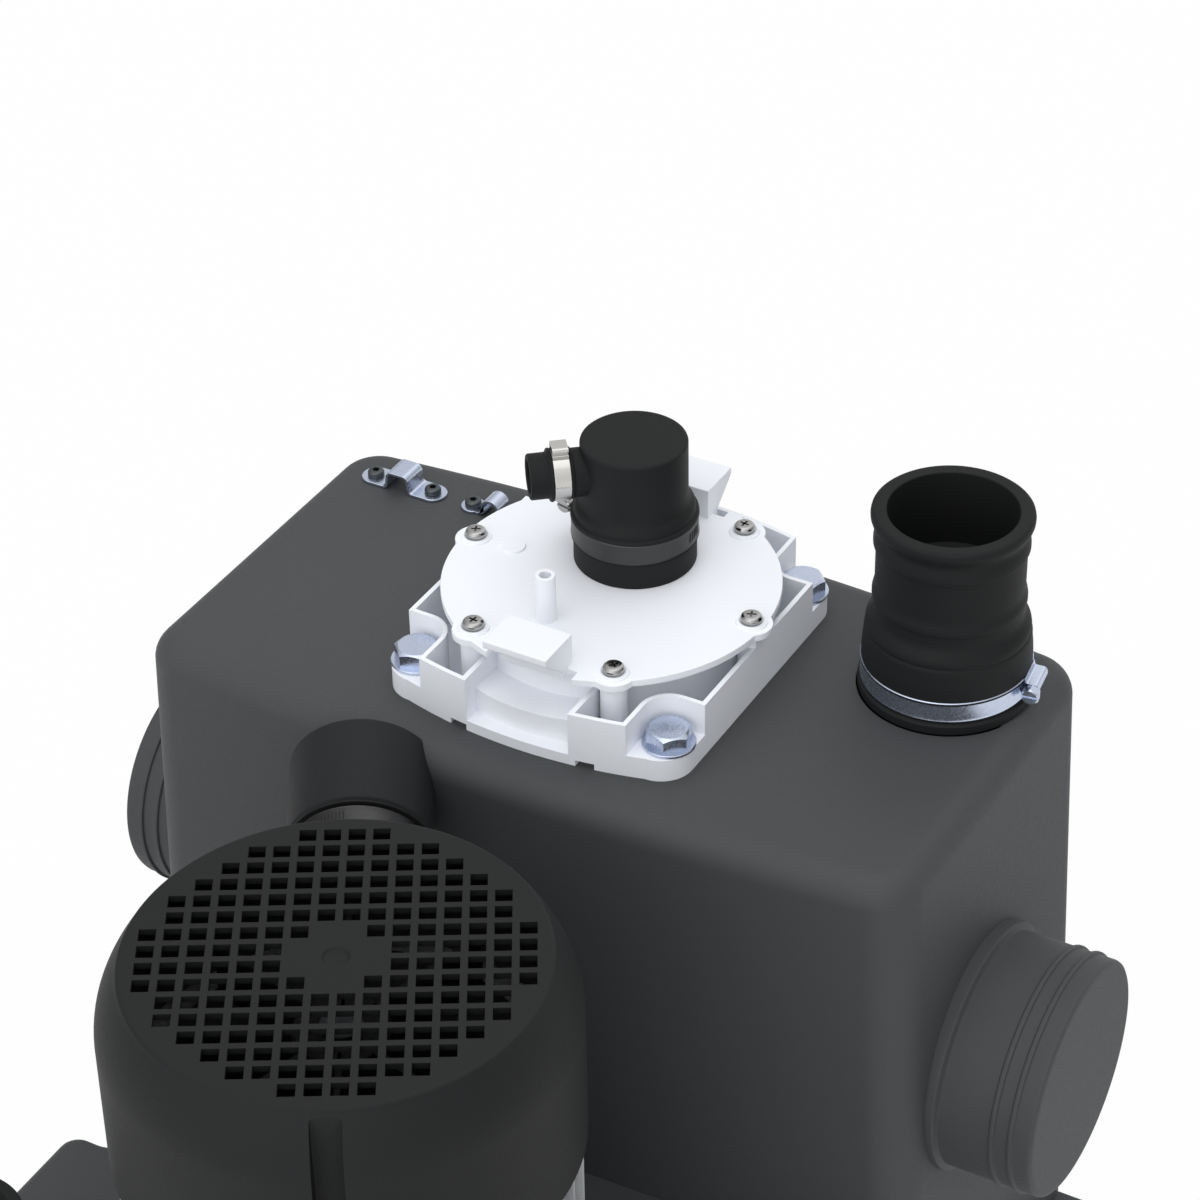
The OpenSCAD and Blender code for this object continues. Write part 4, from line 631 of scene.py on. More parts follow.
class BuildTank(bpy.types.Operator):
    """Builds the moulded tank with its inlets, stub, vent foot, deck and lugs"""

    bl_idname = "pump.tank"
    bl_label = "Tank"

    def execute(self, context):
        sizes = context.scene.pump_tank
        shell = object_from("tank_shell", lofted(tank_rings(sizes, 0, 0)))
        hollow = object_from("hollow", lofted(tank_rings(sizes, 5, 5)))
        vent = object_from("vent_hole", turned([(0, -30), (25.5, -30), (25.5, 60), (0, 60)]))
        vent.data.transform(in_millimetres(VENT))
        sensor = object_from("sensor_hole", turned([(0, -30), (56, -30), (56, 30), (0, 30)]))
        sensor.data.transform(in_millimetres(COVER))
        drill(shell, hollow, vent, sensor)
        parts = [shell]
        for side in (-1, 1):
            wall = 1000 * (sizes.half_width + side * sizes.middle_x)
            end = INLET_END
            profile = [(0, wall - 20), (48, wall - 20), (58.2, wall - 10), (58.2, wall + 2.6),
                       (57.9, wall + 3.5), (57.2, wall + 4), (55.9, wall + 4.2), (55.1, wall + 4.8),
                       (55, wall + 6)]
            for ridge in INLET_RIDGES:
                z = end - ridge
                profile += [(55, z - 0.3), (55.3, z), (56.0, z + 0.3), (56.2, z + 0.8), (56.2, z + 1.8),
                            (56.0, z + 2.3), (55.3, z + 2.6), (55, z + 2.9)]
            profile += [(55, end - 2.2), (54.6, end - 1), (53.6, end - 0.3), (52.4, end), (50, end), (0, end)]
            inlet = object_from("inlet", turned(profile, 144))
            inlet.data.transform(Matrix.Translation(INLET_AXIS) @ spin(90 * side, "Y"))
            parts.append(inlet)
        stub = object_from("riser_socket", turned([
            (12.2, -1), (12.2, -45), (28, -46), (30.6, -45.3), (31.7, -44), (32, -42.2), (32, -2.2),
            (31.7, -1), (30.9, -0.2), (29.9, 0), (13.2, 0)], 96, True))
        stub.data.transform(in_millimetres(STUB))
        foot = object_from("vent_foot", turned([
            (25.5, -5), (30, -20), (39.5, -20), (44, -3.4), (42.5, -1.6), (40.6, -0.5), (39.6, 0), (31, 0),
            (31, 27), (30, 28), (26.5, 28), (25.5, 27)], 96, True))
        foot.data.transform(in_millimetres(VENT))
        deck = object_from("deck", lofted(slab_rings(
            DECK_LEFT, DECK_RIGHT, DECK_FRONT, DECK_BACK, DECK_TOP, 10, DECK_EDGE)))
        neck = object_from("neck", lofted(slab_rings(
            NECK_LEFT, DECK_RIGHT, NECK_FRONT, NECK_BACK, DECK_TOP, 8, DECK_EDGE)))
        # A hair lower, so that its top face isn't in the plane that the deck's and the neck's share
        fillet = self.hollow_corner(NECK_LEFT, DECK_BACK, NECK_FILLET, DECK_TOP - 0.05, DECK_EDGE)
        parts += [foot, deck, neck, fillet]
        for side in (-1, 1):
            centre = 1000 * sizes.middle_x + side * (FLOOR_HALF_WIDTH + LUG_REACH)
            ends = sorted((centre - side * LUG_ROOT, centre + side * LUG_REACH))
            for y in LUG_PLACES:
                lug = object_from("lug", lofted(slab_rings(
                    *ends, y - LUG_HALF_DEPTH, y + LUG_HALF_DEPTH, 8, 6, 2)))
                hole = object_from("hole", turned([(0, -2), (4.5, -2), (4.5, 10), (0, 10)], 48))
                hole.data.transform(Matrix.Translation((centre, y, 0)))
                parts.append(drill(lug, hole))
        tank = joined("tank_shell", parts)
        show(tank, "tank", UPRIGHT, "station", ["tank_body"], 30)
        show(stub, "socket", UPRIGHT, "station", (), 30)
        return {"FINISHED"}

    def hollow_corner(self, x, y, radius, top, edge):
        """The concave corner between the deck and the neck, with the same rounded top edge."""
        rings = []
        for z, inset in edge_levels(top, edge):
            reach = radius + inset
            arc = [math.radians(-90 + 90 * k / 12) for k in range(13)]
            ring = [(x - radius + reach * math.cos(a), y + radius + reach * math.sin(a), z) for a in arc]
            rings.append(ring + [(x + 10, y + radius, z), (x + 10, y - 10, z), (x - radius, y - 10, z)])
        return object_from("hollow_corner", lofted(rings))


def band(name, radius, width, thick, lip=0.35):
    """A hose band with a slight roll along both edges."""
    return object_from(name, turned([
        (radius + 0.05, 0.3), (radius + thick - lip, 0), (radius + thick, 0.35),
        (radius + thick - lip * 0.8, 1.3), (radius + thick - lip * 0.8, width - 1.3),
        (radius + thick, width - 0.35), (radius + thick - lip, width),
        (radius + 0.05, width - 0.3)], 120, True))


def worm_housing(length, height):
    """The pressed saddle over the worm, with a rolled top, along Y."""
    path = rounded_path([(-height * 0.9, -0.2), (-height * 0.45, 0.1), (-height * 0.42, height - 0.3),
                         (height * 0.42, height - 0.3), (height * 0.45, 0.1), (height * 0.9, -0.2)], 1.6)
    return object_from("saddle", strip(path, length / 2, 0.7))


def worm_screw_piece(length, radius):
    """A worm screw along Y: threaded body, hexagon head and round tip."""
    body = [(0, 0)]
    turns = int(length / 1.4)
    for k in range(turns):
        z = k * 1.4
        body += [(radius * 0.86, z), (radius, z + 0.45), (radius, z + 0.75), (radius * 0.86, z + 1.2)]
    body += [(radius * 0.8, length), (0, length)]
    screw = object_from("screw", turned(body, 32))
    head = object_from("head", hexagon(radius * 2.9, 4.4))
    head.data.transform(Matrix.Translation((0, 0, length)))
    slot = object_from("slot", block(-6, 6, -0.6, 0.6, length + 3.4, length + 6))
    drill(head, slot)
    return joined("worm_screw", [screw, head])


class BuildVent(bpy.types.Operator):
    """Builds the rubber vent sleeve with its hose band and screw"""

    bl_idname = "pump.vent"
    bl_label = "Vent sleeve"

    def execute(self, context):
        outer = [(31.2, 0), (38.6, 0), (39.0, 0.6), (39.0, 4.2), (38.4, 5.0), (37.2, 5.4), (37.2, 14.4),
                 (37.6, 14.6), (38.1, 15.2), (38.1, 15.9), (37.7, 16.4), (37.7, 20), (37.4, 25),
                 (36.9, 29.4), (36.9, 31), (36.6, 32.2), (36.2, 32.8), (36.3, 33.8), (36.4, 34.8),
                 (36.1, 36.4), (35.2, 38.2), (34.0, 39.8), (33.3, 41.4), (33.1, 43.4), (33.0, 47.4),
                 (33.2, 47.8), (33.7, 48.1), (33.9, 48.6), (33.9, 50.4), (33.6, 52), (33.0, 53.6),
                 (32.8, 56), (32.8, 74.6), (33.0, 75.0), (33.8, 75.3), (34.0, 75.8), (34.0, 77.6),
                 (33.7, 79.6), (33.2, 81.6), (32.9, 83), (33.1, 84.4), (33.9, 86), (35.0, 87.4),
                 (35.4, 88.6), (35.5, 90), (35.2, 91.4), (34.4, 92.1), (33.4, 92.3), (29.0, 92.3),
                 (28.6, 91.9), (28.4, 60), (28.2, 56), (26.2, 54.6), (25.6, 54), (25.6, 28.4), (31.1, 28.4)]
        sleeve = object_from("vent_rubber", turned(outer, 144, True))
        show(sleeve, "rubber", VENT, "station", ["vent_sleeve"], 35)
        turn = spin(8, "Z")
        place = raised(VENT, 0.0065) @ turn
        strip_band = band("vent_band", 37.2, 10, 0.9)
        show(strip_band, "zinc", place, "station", ["vent_clamp"], 50)
        saddle = rounded(worm_housing(15, 6), 0.15)
        saddle.data.transform(Matrix.Translation((37.8, 0, 5)) @ spin(90, "Y"))
        saddle.name = "vent_band_saddle"
        show(saddle, "zinc", place, "station", ())
        screw = worm_screw_piece(17, 2.5)
        screw.data.transform(Matrix.Translation((41.6, 8, 5)) @ spin(90, "X"))
        screw.name = "vent_band_screw"
        show(screw, "zinc", place, "station", ["vent_clamp_screw"])
        return {"FINISHED"}


def pan_head(radius, height, recess):
    """A pan head with a pressed recess: cross for a blade of four wings, star for six."""
    profile = [(0, -1), (radius * 0.5, -1), (radius * 0.5, 0), (radius * 0.97, 0), (radius, 0.25)]
    for k in range(9):
        a = math.pi / 2 * k / 8
        profile.append((radius * (0.45 + 0.55 * math.cos(a) ** 0.7) if k < 8 else radius * 0.45,
                        height * (0.45 + 0.55 * math.sin(a))))
    profile += [(radius * 0.3, height), (0, height)]
    head = object_from("head", turned(profile, 48))
    wings = {"cross": 2, "star": 3}[recess]
    cutters = []
    for k in range(wings):
        reach = radius * (0.44 if recess == "cross" else 0.42)
        half = radius * (0.10 if recess == "cross" else 0.15)
        wing = object_from("wing", block(-reach, reach, -half, half, height * 0.35, height + 1))
        wing.data.transform(Matrix.Rotation(math.pi * k / wings + 0.4, 4, "Z"))
        cutters.append(wing)
    return drill(head, *cutters)


LID_SCREWS = 6
LID_SCREW_RADIUS = 70
LID_SCREW_SEAT = 0.0375
TRAY_BOLTS = 4
TRAY_BOLT_RADIUS = 63.4 * math.sqrt(2)


class BuildCover(bpy.types.Operator):
    """Builds the white sensor cover: frame, lid, grip lugs, screws, bolts and washers"""

    bl_idname = "pump.cover"
    bl_label = "Sensor cover"

    def execute(self, context):
        dressed("cover_frame", "cover_tray", "white", "station", 0.0007)
        dressed("lid_disc", "lid_plate", "white", "station", 0.0011)
        dressed("lid_seal", "lid_gasket", "rubber", "station", 0.0004)
        head = pan_head(4.9, 3.6, "cross")
        screws = repeated("lid_screws", head, LID_SCREWS, LID_SCREW_RADIUS, 0, 60, "chrome")
        show(screws, "chrome", raised(COVER, LID_SCREW_SEAT), "station",
             numbered("lid_screw", LID_SCREWS))
        rim = object_from("rim", turned([
            (5, -1), (6.3, -1), (6.3, 0.2), (6.05, 0.5), (5.5, 0.5), (5.3, 0.2), (5, 0.1)], 48, True))
        rims = repeated("screw_rims", rim, LID_SCREWS, LID_SCREW_RADIUS, 0, 60, "white")
        show(rims, "white", raised(COVER, LID_SCREW_SEAT), "station", ())
        bolt = joined("bolt", [object_from("flange", turned([
            (0, 0), (8.6, 0), (8.6, 0.4), (0, 0.4)], 48)), object_from("head", hexagon(18, 7))])
        bolts = repeated("tray_bolts", bolt, TRAY_BOLTS, TRAY_BOLT_RADIUS, 45, 90, "zinc")
        show(bolts, "zinc", raised(COVER, 0.0126), "station",
             numbered("frame_bolt", TRAY_BOLTS))
        washer = object_from("washer", turned([
            (5.3, 0), (11.5, 0), (11.8, 0.3), (11.8, 1.3), (11.5, 1.6), (5.3, 1.6)], 72, True))
        washers = repeated("tray_washers", washer, TRAY_BOLTS, TRAY_BOLT_RADIUS, 45, 90, "zinc")
        show(washers, "zinc", raised(COVER, 0.011), "station",
             numbered("frame_washer", TRAY_BOLTS))
        return {"FINISHED"}


class BuildCap(bpy.types.Operator):
    """Builds the rubber cap with its side nozzle, its band and the crimped ear clamp"""

    bl_idname = "pump.cap"
    bl_label = "Rubber cap"

    def execute(self, context):
        dome = object_from("dome", turned([
            (0, 24.4), (21.9, 24.4), (22.1, 24), (22.1, 0), (27.3, 0), (27.7, 0.5), (27.7, 12.2),
            (28.0, 12.4), (28.6, 12.8), (28.4, 13.4), (27.9, 13.6), (27.9, 23.4), (28.5, 23.6), (28.7, 24.3),
            (28.3, 25.0), (27.4, 25.4), (27.3, 26.8), (27.0, 28.2), (26.2, 29.4), (25.2, 30.2), (24.7, 31.4),
            (24.2, 33.5), (24.0, 36), (24.0, 60.2), (23.8, 60.8), (23.2, 61.3), (22.2, 61.4),
            (0, 61.4)], 120))
        nozzle = object_from("nozzle", turned([
            (7.5, 20), (0, 20), (0, 12), (11.0, 12), (11.0, 27.7), (11.6, 28.1), (11.8, 28.7), (11.3, 29.3),
            (11.0, 29.6), (11.0, 37.0), (11.9, 37.1), (12.1, 37.8), (11.8, 38.5), (10.8, 38.9), (10.4, 39.4),
            (10.4, 46.7), (9.9, 47.3), (8.0, 47.3), (7.5, 46.8)], 72, True))
        nozzle.data.transform(in_millimetres(BOSS.inverted() @ NOZZLE))
        cap = joined("cap_rubber", [dome, nozzle])
        show(cap, "rubber", BOSS, "station", ["rubber_cap"], 50)
        ring = band("cap_band", 27.9, 10, 0.9)
        place = raised(BOSS, 0.0135) @ spin(168, "Z")
        show(ring, "dark_band", place, "station", ["cap_clamp"], 50)
        # A dark sheet of painted shade stands in each slot of the band, over the rubber seen through it
        slot = object_from("slot", block(28.6, 28.72, -0.35, 0.35, 2.6, 7.4))
        slots = repeated("cap_band_slots", slot, 5, 0, 190, 4.2, "slot")
        show(slots, "slot", place, "station", ())
        saddle = rounded(worm_housing(12, 5.6), 0.15)
        saddle.data.transform(Matrix.Translation((28.4, 0, 5)) @ spin(90, "Y"))
        saddle.name = "cap_band_saddle"
        show(saddle, "dark_band", place, "station", ())
        screw = worm_screw_piece(16, 2.5)
        screw.data.transform(Matrix.Translation((32.3, -8, 5)) @ spin(-90, "X"))
        screw.name = "cap_band_screw"
        show(screw, "chrome", place, "station", ["cap_clamp_screw"])
        loop = object_from("loop", turned([
            (11.05, 0), (11.75, 0), (11.8, 0.1), (11.8, 7.1), (11.75, 7.2), (11.05, 7.2)], 96, True))
        ear = object_from("ear", strip(rounded_path([
            (-5.2, 11.1), (-3.5, 11.4), (-4.3, 15.1), (4.3, 15.1), (3.5, 11.4), (5.2, 11.1)], 1.1), 3.6, 0.7))
        ear.data.transform(spin(-90, "Z") @ Matrix.Translation((0, 0, 3.6)) @ Matrix(
            ((1, 0, 0, 0), (0, 0, 1, 0), (0, 1, 0, 0), (0, 0, 0, 1))))
        bm = bmesh.new()
        bm.from_mesh(ear.data)
        bmesh.ops.recalc_face_normals(bm, faces=bm.faces)
        bm.to_mesh(ear.data)
        bm.free()
        clamp = joined("nozzle_ear_clamp", [loop, ear])
        show(clamp, "steel", raised(NOZZLE, 0.0297), "station", ["nozzle_clamp"])
        return {"FINISHED"}


CLIP_Y = 0.2115
CLIP_SCREWS = (-0.1746, -0.1426, -0.1201)


class BuildClips(bpy.types.Operator):
    """Builds the two bent cable clips and their screws"""

    bl_idname = "pump.clips"
    bl_label = "Cable clips"

    def execute(self, context):
        saddle = rounded(object_from("saddle_strip", strip(rounded_path([
            (-16, 0.8), (-6.4, 0.8), (-5.2, 9.6), (5.2, 9.6), (6.4, 0.8),
            (16, 0.8)], 2.6, 8), 6.9, 1.4)), 0.3)
        place = Matrix.Translation((-0.1586, CLIP_Y, 0.320))
        saddle = joined("saddle_strip", [saddle, self.plate_end(-16, 6.9), self.plate_end(16, 6.9)])
        show(saddle, "zinc", place, "station", ["saddle_clip"])
        tube = [(0, 0.8), (5.4, 0.8)]
        tube += [(12 + 4.2 * math.cos(math.radians(a)), 5 + 4.2 * math.sin(math.radians(a)))
                 for a in range(215, -90, -15)]
        loop = object_from("tube_strip", strip([Vector(p) for p in tube], 5, 1.4))
        place = Matrix.Translation((CLIP_SCREWS[2], CLIP_Y, 0.320))
        loop = joined("tube_strip", [rounded(loop, 0.25), self.plate_end(0, 5.9)])
        show(loop, "zinc", place, "station", ["p_clip"], 50)
        for k, x in enumerate(CLIP_SCREWS):
            screw = pan_head(4.0, 3.0, "star")
            screw.name = "clip_pan_screw_%d" % (k + 1)
            show(screw, "phosphate", Matrix.Translation((x, CLIP_Y, 0.3216)), "station",
                 ["clip_screw_%d" % (k + 1)])
        return {"FINISHED"}

    def plate_end(self, x, radius):
        """The round end of a clip's plate."""
        end = object_from("plate_end", turned([
            (0, 0.12), (radius - 0.2, 0.12), (radius, 0.3), (radius, 1.2), (radius - 0.25, 1.47),
            (0, 1.47)], 48))
        end.data.transform(Matrix.Translation((x, 0, 0)))
        return end


GRILLE_ROWS = 16
GRILLE_HUB = 16.0
GRILLE_REACH = 77.0


class BuildMotor(bpy.types.Operator):
    """Builds the fan cowl with its grille, the fan, the ribbed housing and the end shields"""

    bl_idname = "pump.motor"
    bl_label = "Motor"

    def execute(self, context):
        sizes = context.scene.pump_motor
        self.cowl(sizes)
        self.housing(sizes)
        blades = object_from("blade", block(10, 76, -1.5, 1.5, 0, 30))
        fan = joined("fan_wheel", [
            repeated("blades", rounded(blades, 0.8), sizes.fan_blades, 0, 0, 360 / sizes.fan_blades, "pipe"),
            object_from("hub", turned([(9, 0), (78, 0), (78, 3), (22, 3), (20, 5), (20, 29), (19, 30),
                                      (9, 30)], 96, True))])
        show(fan, "cowl", raised(MOTOR, 0.2865), "rotor", ["fan"])
        dressed("rotor_shaft", "shaft", "phosphate", "rotor", 0.0006)
        dressed("rotor_core", "rotor_iron", "steel", "rotor", 0.0005)
        dressed("stator_core", "stator_winding", "winding", "station", 0.002)
        dressed("upper_shield", "top_shield", "aluminium", "station", 0.0006)
        dressed("lower_shield", "foot_shield", "aluminium", "station", 0.0012)
        for side in ("upper", "lower"):
            dressed(side + "_bearing", side + "_race", "steel", "station", 0.0005)
        head = pan_head(4.5, 3, "cross")
        head.data.transform(spin(90, "Y"))
        screws = repeated("cowl_pan_screws", head, 4, 96.7, 45, 90, "steel")
        show(screws, "steel", raised(MOTOR, 0.2725), "station", ["cowl_screws"])
        return {"FINISHED"}

    def cowl(self, sizes):
        low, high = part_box("fan_cowl")
        height = 1000 * (high.z - low.z)
        shoulder = 31
        outer, plate = 1000 * sizes.cowl_radius, 1000 * sizes.grille_radius

        def skin(inset, top):
            points = [(0, 0 if not inset else -1), (outer - inset, 0 if not inset else -1)]
            for k in range(25):
                t = k / 24
                points.append((outer - inset - (outer - plate) * t * t,
                               height - shoulder + (shoulder - 1.6) * t))
            if not inset:
                points += [(plate - 0.15, top - 1.0), (plate - 0.6, top - 0.45), (plate - 1.2, top - 0.12),
                           (plate - 2, top)]
                points += [(6, top), (5.6, top - 0.1), (5.2, top - 0.6), (4.4, top - 1.0), (0, top - 1.0)]
            else:
                points += [(plate - inset - 1, top), (0, top)]
            return points

        shell = object_from("cowl_shell", turned(skin(0, height), 144))
        room = object_from("room", turned(skin(3, height - 3), 144))
        drill(room, object_from("rib", block(-9.25, 9.25, -105, -outer + 12.5, -3, height - 3)))
        groove = object_from("groove", block(-6.25, 6.25, -110, -outer + 9.5, -2, height + 5))
        drill(shell, room, rounded(groove, 1.0))
        run_tree(shell, TREES["grille"], {
            "Pitch": 1000 * sizes.grille_pitch, "Hole": 1000 * sizes.grille_hole, "Rows": GRILLE_ROWS,
            "Hub": GRILLE_HUB, "Reach": GRILLE_REACH, "Height": height, "Finish": FINISH["cowl"]})
        show(rounded(shell, 0.35, 50, 2), "cowl", raised(MOTOR, low.z), "station",
             ["fan_cowl"])

    def housing(self, sizes):
        low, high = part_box("motor_housing")
        height = 1000 * (high.z - low.z)
        barrel = object_from("barrel", turned([
            (70, 0), (77, 0), (78, 1), (78, height - 1), (77, height), (70, height)], 120, True))
        fin = object_from("fin", lofted([
            [(77, -1.5, z), (94.4 - d, -1.1, z), (94.4 - d, 1.1, z), (77, 1.5, z)]
            for z, d in ((6.2, 4), (8, 0), (height - 5, 0), (height - 4.5, 0.4))]))
        step = 360 / sizes.fin_count
        skipped = 7
        fins = repeated("fins", fin, sizes.fin_count - skipped, 0, 270 + 4 * step, step, "aluminium")
        pad = object_from("pad", block(-34, 34, -82, -66, 12, 70))
        housing = joined("ribbed_housing", [barrel, fins, rounded(pad, 1.5)])
        show(housing, "aluminium", raised(MOTOR, low.z), "station", ["motor_housing"])


class BuildTerminals(bpy.types.Operator):
    """Builds the terminal box with its screwed cover and cable gland"""

    bl_idname = "pump.terminals"
    bl_label = "Terminal box"

    def execute(self, context):
        dressed("terminal_box", "terminal_case", "cowl", "station", 0.002)
        dressed("terminal_cover", "terminal_lid", "cowl", "station", 0.0018)
        dressed("cable_gland", "gland", "cowl", "station", 0.0005)
        return {"FINISHED"}


class BuildPump(bpy.types.Operator):
    """Builds the pump casing, its bolts, the impeller, the cutter and the shaft seal"""

    bl_idname = "pump.casing"
    bl_label = "Pump casing"

    def execute(self, context):
        dressed("pump_casing", "volute", "iron", "station", 0.002)
        dressed("impeller", "vane_wheel", "iron", "rotor", 0.0008)
        dressed("cutter_rotor", "cutter_arms", "steel", "rotor", 0.0004)
        dressed("cutter_ring", "cutter_plate", "steel", "station", 0.0004)
        dressed("shaft_seal", "seal_ring", "rubber", "station", 0.0004)
        bolt = joined("bolt", [
            object_from("head", hexagon(11.2, 5)),
            object_from("shank", turned([(0, 0.3), (3.95, 0.3), (3.95, -63.5), (3.2, -64), (0, -64)], 32))])
        bolts = repeated("casing_hex_bolts", bolt, 4, 84, 45, 90, "steel")
        show(bolts, "steel", raised(MOTOR, 0.156), "station", ["casing_bolts"])
        return {"FINISHED"}


class BuildDischarge(bpy.types.Operator):
    """Builds the check valve, the discharge sleeve, the casing riser and their bands"""

    bl_idname = "pump.discharge"
    bl_label = "Discharge and riser"

    def execute(self, context):
        dressed("valve_body", "valve_case", "iron", "station", 0.002)
        dressed("valve_cover", "valve_lid", "iron", "station", 0.0015)
        dressed("valve_flap", "valve_clapper", "steel", "check_flap", 0.0003)
        dressed("discharge_sleeve", "outlet_rubber", "rubber", "station", 0.0006)
        dressed("discharge_clamp", "outlet_band", "zinc", "station", 0.0002)
        dressed("vent_riser", "riser_pipe", "pipe", "station", 0.0)
        dressed("riser_sleeve", "riser_rubber", "rubber", "station", 0.0005)
        ring = band("riser_band", 28.5, 10, 0.9)
        place = raised(STUB, 0.0017)
        show(ring, "dark_band", place, "station", ["riser_clamp"], 50)
        # A dark sheet of painted shade stands in each slot of the band, over the rubber seen through it
        slot = object_from("slot", block(29.2, 29.32, -0.4, 0.4, 2.6, 7.4))
        slots = repeated("riser_band_slots", slot, 14, 0, 100, 3.4, "slot")
        show(slots, "slot", place, "station", ())
        return {"FINISHED"}


class BuildFloat(bpy.types.Operator):
    """Builds the level float and its bracket inside the tank"""

    bl_idname = "pump.float"
    bl_label = "Float"

    def execute(self, context):
        dressed("float_arm", "float_lever", "float", "float", 0.001)
        dressed("float_bracket", "float_carrier", "white", "station", 0.0008)
        return {"FINISHED"}


# The world's strength: bright above, falling off to the sides and to the back
SKY_TOP = 1.52
SKY_SIDE_FALL = -1.15
SKY_BACK_FALL = -0.3
FLOOR_GLOW_SHARE = 0.985

# The camera that was fitted to the photograph; its turns are azimuth, pitch and roll in degrees
LENS_MM = 109.3
CAMERA_SPOT = (0.650, -1.0015, 1.2875)
CAMERA_TURNS = (30.05, 35.48, -1.14)


def pale_floor():
    """A floor that looks white to the camera and to reflections, and keeps a faint shadow."""
    material, tree = blank_material("pale_floor")
    rays = add_node(tree, "ShaderNodeLightPath").outputs
    seen = add_node(tree, "ShaderNodeMath", {"operation": "ADD", "use_clamp": True}, {
        0: rays["Is Camera Ray"], 1: rays["Is Glossy Ray"]})
    through = add_node(tree, "ShaderNodeMath", {"operation": "ADD", "use_clamp": True}, {
        0: seen.outputs[0], 1: rays["Is Transmission Ray"]})
    share = add_node(tree, "ShaderNodeMath", {"operation": "MULTIPLY"}, {
        0: through.outputs[0], 1: FLOOR_GLOW_SHARE})
    paint = add_node(tree, "ShaderNodeBsdfDiffuse", inputs={"Color": (0.55, 0.55, 0.56, 1)})
    glow = add_node(tree, "ShaderNodeEmission", inputs={"Color": (1, 1, 1, 1), "Strength": 1.0})
    mixed = add_node(tree, "ShaderNodeMixShader", inputs={
        0: share.outputs[0], 1: paint.outputs[0], 2: glow.outputs[0]})
    add_node(tree, "ShaderNodeOutputMaterial", inputs={"Surface": mixed.outputs[0]})
    return material


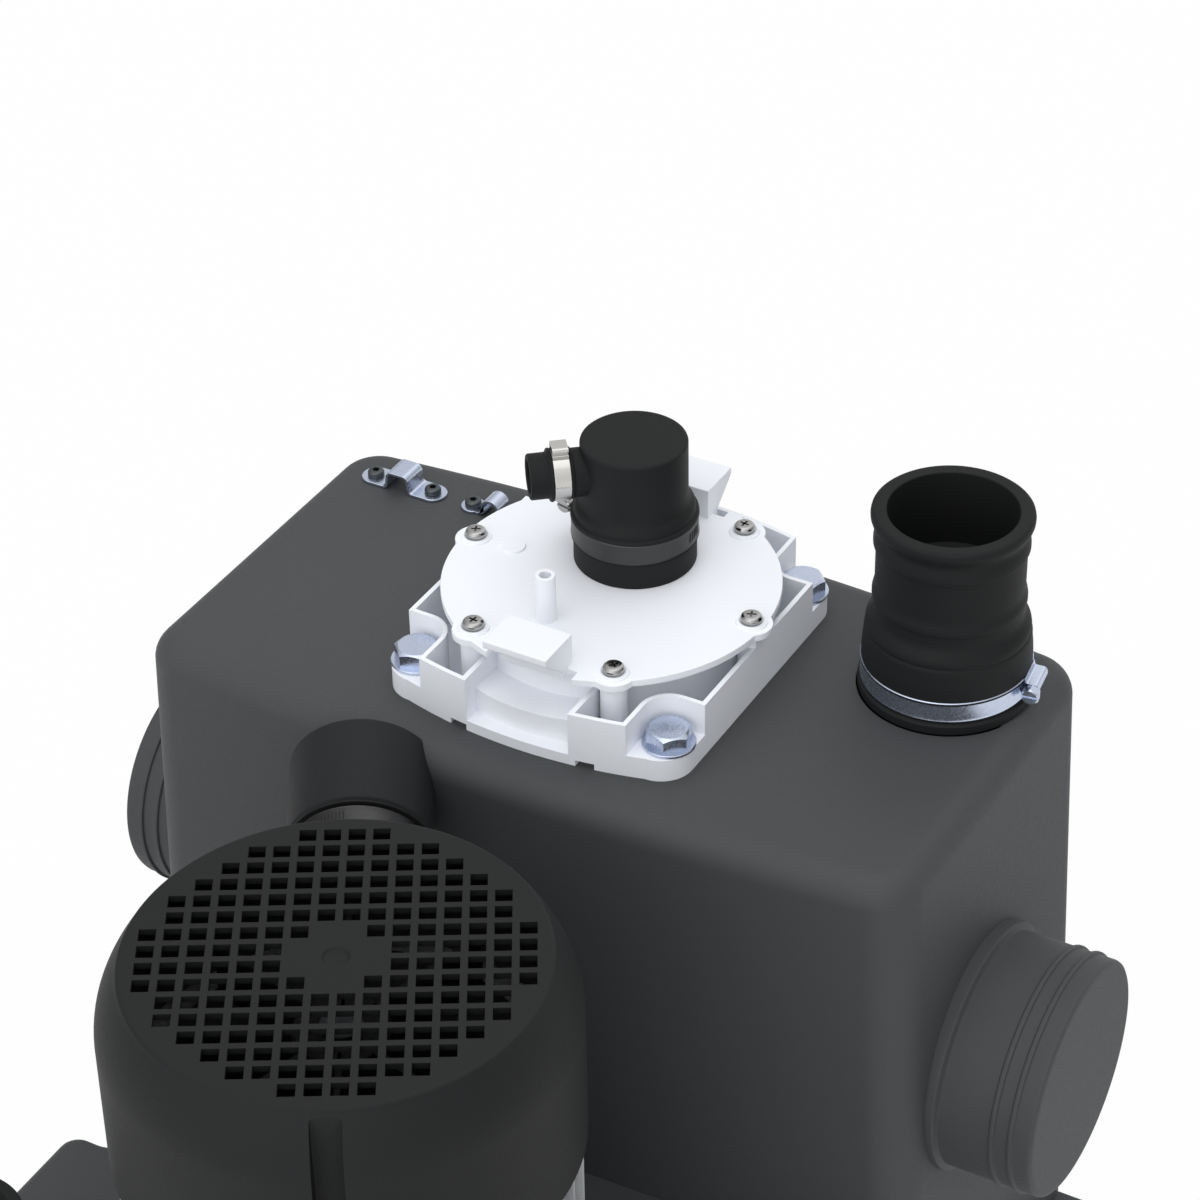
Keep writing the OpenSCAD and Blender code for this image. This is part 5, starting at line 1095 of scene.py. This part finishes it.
class BuildStage(bpy.types.Operator):
    """Sets the floor, the soft studio light and the camera"""

    bl_idname = "pump.stage"
    bl_label = "Stage"

    def execute(self, context):
        scene = context.scene
        scene.view_settings.view_transform = "Standard"
        floor = object_from("floor", block(-6000, 6000, -6000, 6000, -20, -0.5))
        floor.data.transform(MILLIMETRES)
        floor.data.materials.append(pale_floor())
        self.sky(scene)
        self.lamp("top_softbox", (0.1, 0.1, 2.4), (0, 0.05, 0.2), 2.4, 4.0)
        self.camera(scene)
        return {"FINISHED"}

    def sky(self, scene):
        world = bpy.data.worlds.new("studio")
        scene.world = world
        world.use_nodes = True
        tree = world.node_tree
        tree.nodes.clear()
        ways = add_node(tree, "ShaderNodeSeparateXYZ", inputs={
            0: add_node(tree, "ShaderNodeTexCoord").outputs["Generated"]}).outputs
        sideways = add_node(tree, "ShaderNodeMath", {"operation": "ABSOLUTE"}, {0: ways["X"]})
        dimmed = add_node(tree, "ShaderNodeMath", {"operation": "MULTIPLY_ADD"}, {
            0: sideways.outputs[0], 1: SKY_SIDE_FALL, 2: SKY_TOP})
        front = add_node(tree, "ShaderNodeMath", {"operation": "MULTIPLY_ADD"}, {
            0: ways["Y"], 1: SKY_BACK_FALL, 2: dimmed.outputs[0]})
        rays = add_node(tree, "ShaderNodeLightPath").outputs
        seen = add_node(tree, "ShaderNodeMath", {"operation": "ADD", "use_clamp": True}, {
            0: rays["Is Camera Ray"], 1: rays["Is Transmission Ray"]})
        strength = add_node(tree, "ShaderNodeMix", {"data_type": "FLOAT"}, {
            0: seen.outputs[0], 2: front.outputs[0], 3: 1.0})
        glow = add_node(tree, "ShaderNodeBackground", inputs={
            "Color": (1, 1, 1, 1), "Strength": strength.outputs[0]})
        add_node(tree, "ShaderNodeOutputWorld", inputs={"Surface": glow.outputs[0]})

    def lamp(self, name, spot, target, size, power):
        light = bpy.data.lights.new(name, "AREA")
        light.shape = "DISK"
        light.size = size
        light.energy = power
        obj = bpy.data.objects.new(name, light)
        obj.location = spot
        obj.rotation_euler = (Vector(target) - Vector(spot)).to_track_quat("-Z", "Y").to_euler()
        bpy.context.scene.collection.objects.link(obj)

    def camera(self, scene):
        lens = bpy.data.cameras.new("camera")
        lens.sensor_width = 36
        lens.lens = LENS_MM
        lens.clip_start = 0.05
        lens.clip_end = 50
        azimuth, pitch, roll = (math.radians(a) for a in CAMERA_TURNS)
        flat = Vector((math.cos(azimuth), math.sin(azimuth), 0))
        ahead = Vector((-math.sin(azimuth) * math.cos(pitch), math.cos(azimuth) * math.cos(pitch),
                        -math.sin(pitch)))
        upward = flat.cross(ahead)
        right = math.cos(roll) * flat + math.sin(roll) * upward
        up = math.cos(roll) * upward - math.sin(roll) * flat
        turn = Matrix((right, up, -ahead)).transposed().to_4x4()
        obj = bpy.data.objects.new("camera", lens)
        obj.matrix_world = Matrix.Translation(CAMERA_SPOT) @ turn
        scene.collection.objects.link(obj)
        scene.camera = obj


class PumpPanel(bpy.types.Panel):
    """Lists the sizes, the finishes and the pieces"""

    bl_idname = "VIEW3D_PT_pump"
    bl_label = "Macerator toilet pump"
    bl_space_type = "VIEW_3D"
    bl_region_type = "UI"
    bl_category = "Pump"

    def draw(self, context):
        scene = context.scene
        for group in (scene.pump_tank, scene.pump_motor, scene.pump_finishes):
            box = self.layout.box()
            for name in group.bl_rna.properties.keys():
                if name not in ("rna_type", "name"):
                    box.prop(group, name)
        for step in STEPS:
            self.layout.operator(step.bl_idname)


GROUPS = (TankSizes, PumpSizes, Finishes)
STEPS = (BuildStage, ReadyFinishes, BuildTank, BuildVent, BuildCover, BuildCap, BuildClips, BuildMotor,
         BuildTerminals, BuildPump, BuildDischarge, BuildFloat)


def register():
    for item in GROUPS + STEPS + (PumpPanel,):
        bpy.utils.register_class(item)
    bpy.types.Scene.pump_tank = bpy.props.PointerProperty(type=TankSizes)
    bpy.types.Scene.pump_motor = bpy.props.PointerProperty(type=PumpSizes)
    bpy.types.Scene.pump_finishes = bpy.props.PointerProperty(type=Finishes)


def unregister():
    for name in ("pump_tank", "pump_motor", "pump_finishes"):
        delattr(bpy.types.Scene, name)
    for item in reversed(GROUPS + STEPS + (PumpPanel,)):
        bpy.utils.unregister_class(item)


def main():
    register()
    for step in STEPS:
        group, name = step.bl_idname.split(".")
        getattr(getattr(bpy.ops, group), name)()


if __name__ == "__main__":
    main()
